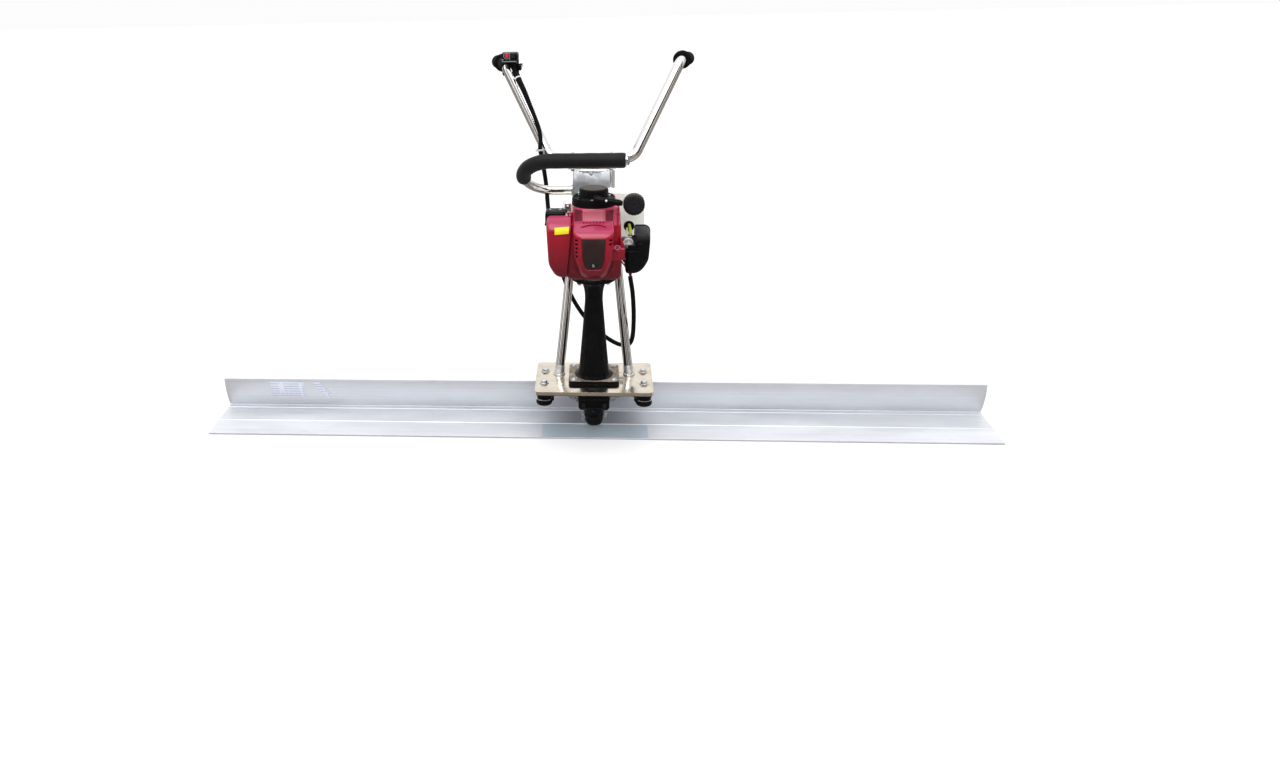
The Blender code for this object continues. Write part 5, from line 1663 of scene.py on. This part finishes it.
def make_cables():
    """The ribbed sheath, its ties, the leads out of it and the fuel hoses."""
    line = flow(cable_line(), 1.3)
    length = len(line)

    def ribs(t):
        thick = 5.0 + 2.2 * max(0.0, 1 - t * 9)
        return thick + 0.42 * math.sin(t * length * 1.3 * 2 * math.pi / 5.2)

    sheath = piece("cable_sheath", sweep(line, ribs, 16), "rubber", None,
                   ("control_cable", "handlebar_cable"), 60)
    follow_bar(sheath)
    for name, i in (("upper", 0.018), ("lower", 0.205)):
        at = int(length * i)
        here = line[at]
        axis = (line[at + 2] - line[at - 2]).normalized()
        band = turned([(6.9, 2.0), (7.9, 2.0), (7.9, -2.0), (6.9, -2.0)], here, axis, 32,
                      closed=True)
        turn = Vector(UP).rotation_difference(axis).to_matrix().to_4x4()
        head = placed(block((6.2, -2.6, -2.6), (11.5, 2.6, 2.6), 0.8),
                      Matrix.Translation(here) @ turn)
        follow_bar(piece("cable_tie_" + name, [band, head], "tie", None))
    leads = [sweep(flow([(x, 262, 831), (x - 1, 259, 816), (x + 0.5, 250, 798)], 1.5), 1.7, 12)
             for x in (-190.5, -186.5)]
    piece("switch_leads", leads, "rubber", "handlebar")
    for name, look, radius, sides, points in (
            ("live_lead", "live", 1.7, 12,
             [(83, 30, 358), (79, 22, 376), (72, 8, 392), (64, -4, 404), (58, -10, 414)]),
            ("earth_lead", "rubber", 1.9, 12,
             [(83, 30, 358), (81, 24, 378), (77, 14, 398), (70, 9, 418)]),
            ("throttle_cable", "rubber", 2.2, 12,
             [(84, 31, 358), (84, 22, 384), (83, 2, 410), (82, -18, 432), (82, -30, 440)]),
            ("fuel_line", "hose", 3.2, 20,
             [(80, 46, 477), (80, 36, 482), (80.5, 20, 482), (82, 2, 476), (82, -12, 472),
              (80, -22, 472.5)]),
            ("return_line", "return", 2.3, 18,
             [(76, 46, 472), (75, 34, 474), (75, 18, 472), (76, 2, 468), (74, -14, 470),
              (70, -28, 470)])):
        piece(name, sweep(flow(points, 2), radius, sides), look, "frame")
    grommet = turned([(0, 3), (8, 3.4), (10.5, 2.6), (12, 0.6), (12, -1), (0, -1)],
                     (79.6, 43.6, 477), FRONT, 40)
    piece("line_grommet", grommet, "rubber", "frame")


# ---------------------------------------------------------------- the nodes that stay as they are

def finish_nodes():
    """Gives every node that is still shown its material."""
    looks = {"exciter_end_cap": "cast", "upper_bearing": "zinc", "lower_bearing": "zinc",
             "eccentric_shaft": "zinc", "eccentric_weight": "cast", "drive_shaft": "zinc",
             "flexible_coupling": "rubber", "cylinder": "cast", "crankshaft": "zinc",
             "flywheel": "cast", "clutch_shoes": "cast", "piston": "zinc",
             "starter_pulley": "plastic"}
    for name, node in frame["nodes"].items():
        if name in looks:
            node.data.materials.clear()
            node.data.materials.append(LOOK[looks[name]].material)


# ---------------------------------------------------------------- stage, light and camera

def make_floor():
    """A plain pale floor."""
    bm = bmesh.new()
    bmesh.ops.create_grid(bm, x_segments=2, y_segments=2, size=14000)
    bmesh.ops.translate(bm, vec=(0, 0, -0.4), verts=bm.verts)
    bmesh.ops.scale(bm, vec=(MM, MM, MM), verts=bm.verts)
    mesh = bpy.data.meshes.new("floor")
    bm.to_mesh(mesh)
    bm.free()
    floor = added("floor", mesh)
    f = Finish("pale_floor", (0.86, 0.86, 0.86), "floor", rough=0.9)
    f.tint((0.835, 0.835, 0.835), f.noise(3, detail=3))
    path = f.add("LightPath")
    f.tint((0.24, 0.22, 0.20), path.outputs["Is Glossy Ray"])
    mesh.materials.append(f.material)


def make_world():
    """A white room seen by the camera, with darker walls in the reflections."""
    world = bpy.data.worlds.new("studio")
    world.use_nodes = True
    bpy.context.scene.world = world
    nodes, links = world.node_tree.nodes, world.node_tree.links
    back = nodes["Background"]
    where = nodes.new("ShaderNodeTexCoord").outputs["Generated"]
    split = nodes.new("ShaderNodeSeparateXYZ")
    links.new(where, split.inputs[0])

    def math_node(operation, first, second=None):
        made = nodes.new("ShaderNodeMath")
        made.operation = operation
        for socket, value in zip(made.inputs, (first, second)):
            if isinstance(value, (int, float)):
                socket.default_value = value
            elif value is not None:
                links.new(value, socket)
        return made.outputs[0]

    around = math_node("ARCTAN2", split.outputs["Y"], split.outputs["X"])
    wave = math_node("SINE", math_node("MULTIPLY", around, 9.0))
    crest = math_node("MAXIMUM", math_node("SUBTRACT", wave, 0.62), 0.0)
    streak = math_node("MULTIPLY", crest, 2.4)
    level = math_node("ADD", math_node("MULTIPLY", split.outputs["Y"], 0.5), 0.5)
    walls = nodes.new("ShaderNodeValToRGB")
    stops = ((0.0, (0.035, 0.030, 0.026)), (0.42, (0.10, 0.08, 0.062)),
             (0.60, (0.46, 0.40, 0.33)), (1.0, (0.62, 0.56, 0.48)))
    ramp = walls.color_ramp.elements
    ramp[0].color = (*stops[0][1], 1)
    for place, colour in stops[1:]:
        ramp.new(place).color = (*colour, 1)
    ramp.remove(ramp[-1])
    links.new(math_node("ADD", level, streak), walls.inputs[0])
    rise = nodes.new("ShaderNodeMapRange")
    rise.inputs["From Min"].default_value = 0.30
    rise.inputs["From Max"].default_value = 0.75
    links.new(split.outputs["Z"], rise.inputs["Value"])
    mix = nodes.new("ShaderNodeMix")
    mix.data_type = "RGBA"
    links.new(rise.outputs[0], mix.inputs[0])
    links.new(walls.outputs[0], mix.inputs[6])
    mix.inputs[7].default_value = (0.98, 0.98, 1.0, 1)
    seen = nodes.new("ShaderNodeMix")
    seen.data_type = "RGBA"
    path = nodes.new("ShaderNodeLightPath")
    links.new(path.outputs["Is Camera Ray"], seen.inputs[0])
    links.new(mix.outputs[2], seen.inputs[6])
    seen.inputs[7].default_value = (0.90, 0.90, 0.90, 1)
    links.new(seen.outputs[2], back.inputs["Color"])
    back.inputs["Strength"].default_value = 1.0


def make_lights():
    """An even light from above, a big soft light at the front and a weaker one at the side."""
    even = bpy.data.lights.new("even", "SUN")
    even.energy = 1.0
    even.angle = math.radians(40)
    even.use_shadow = False
    sun = added("even", even)
    sun.rotation_euler = (math.radians(18), math.radians(-14), 0)
    aim = Vector((0, 0.05, 0.35))
    for name, place, size, power in (("key", (0.5, -1.5, 2.5), 1.8, 17),
                                     ("fill", (-2.4, -1.4, 1.7), 1.6, 4)):
        light = bpy.data.lights.new(name, "AREA")
        light.shape = "SQUARE"
        light.size = size
        light.energy = power
        lamp = added(name, light)
        lamp.location = place
        lamp.rotation_mode = "QUATERNION"
        lamp.rotation_quaternion = (aim - Vector(place)).to_track_quat("-Z", "Y")


def make_camera():
    """A camera in front of the blade's middle, 1.1 m up, with its frame shifted off the axis."""
    yaw, pitch, roll = 0.0931, 0.3025, -0.0277
    level = math.cos(pitch)
    ahead = Vector((-math.sin(yaw) * level, math.cos(yaw) * level, -math.sin(pitch)))
    right = Vector((math.cos(yaw), math.sin(yaw), 0))
    up = right.cross(ahead)
    tilted_right = right * math.cos(roll) + up * math.sin(roll)
    tilted_up = up * math.cos(roll) - right * math.sin(roll)
    data = bpy.data.cameras.new("camera")
    data.sensor_width = 36.0
    data.lens = 30.26
    data.shift_x = 0.108
    data.shift_y = -0.0874
    camera = added("camera", data)
    place = Vector((0.00856, -2.3422, 1.10185))
    turn = Matrix((tilted_right, tilted_up, -ahead)).transposed().to_4x4()
    camera.matrix_world = Matrix.Translation(place) @ turn
    bpy.context.scene.camera = camera


def make_everything():
    """Builds every piece, then the stage."""
    make_blade()
    paper("blank_sheet", -800, -714, 35, 77, -0.5, "paper")
    paper("blank_tag", -696, -642, 50, 65, -52, "paper")
    make_bracket()
    make_exciter()
    make_saddle()
    make_clamps()
    make_plate()
    make_isolators()
    make_shaft_housing()
    make_legs()
    make_head()
    make_handlebar_clamp()
    make_lift_handle()
    make_handlebar()
    make_switch_box()
    make_shroud()
    make_top_cover()
    make_side_ear()
    make_muffler()
    make_air_cleaner()
    make_carburettor()
    make_engine_block()
    make_tank()
    make_starter()
    make_cables()
    finish_nodes()
    make_floor()
    make_world()
    make_lights()
    make_camera()
    view = bpy.context.scene.view_settings
    view.view_transform = "Standard"
    view.gamma = 0.86
    view.exposure = 0.12


make_everything()
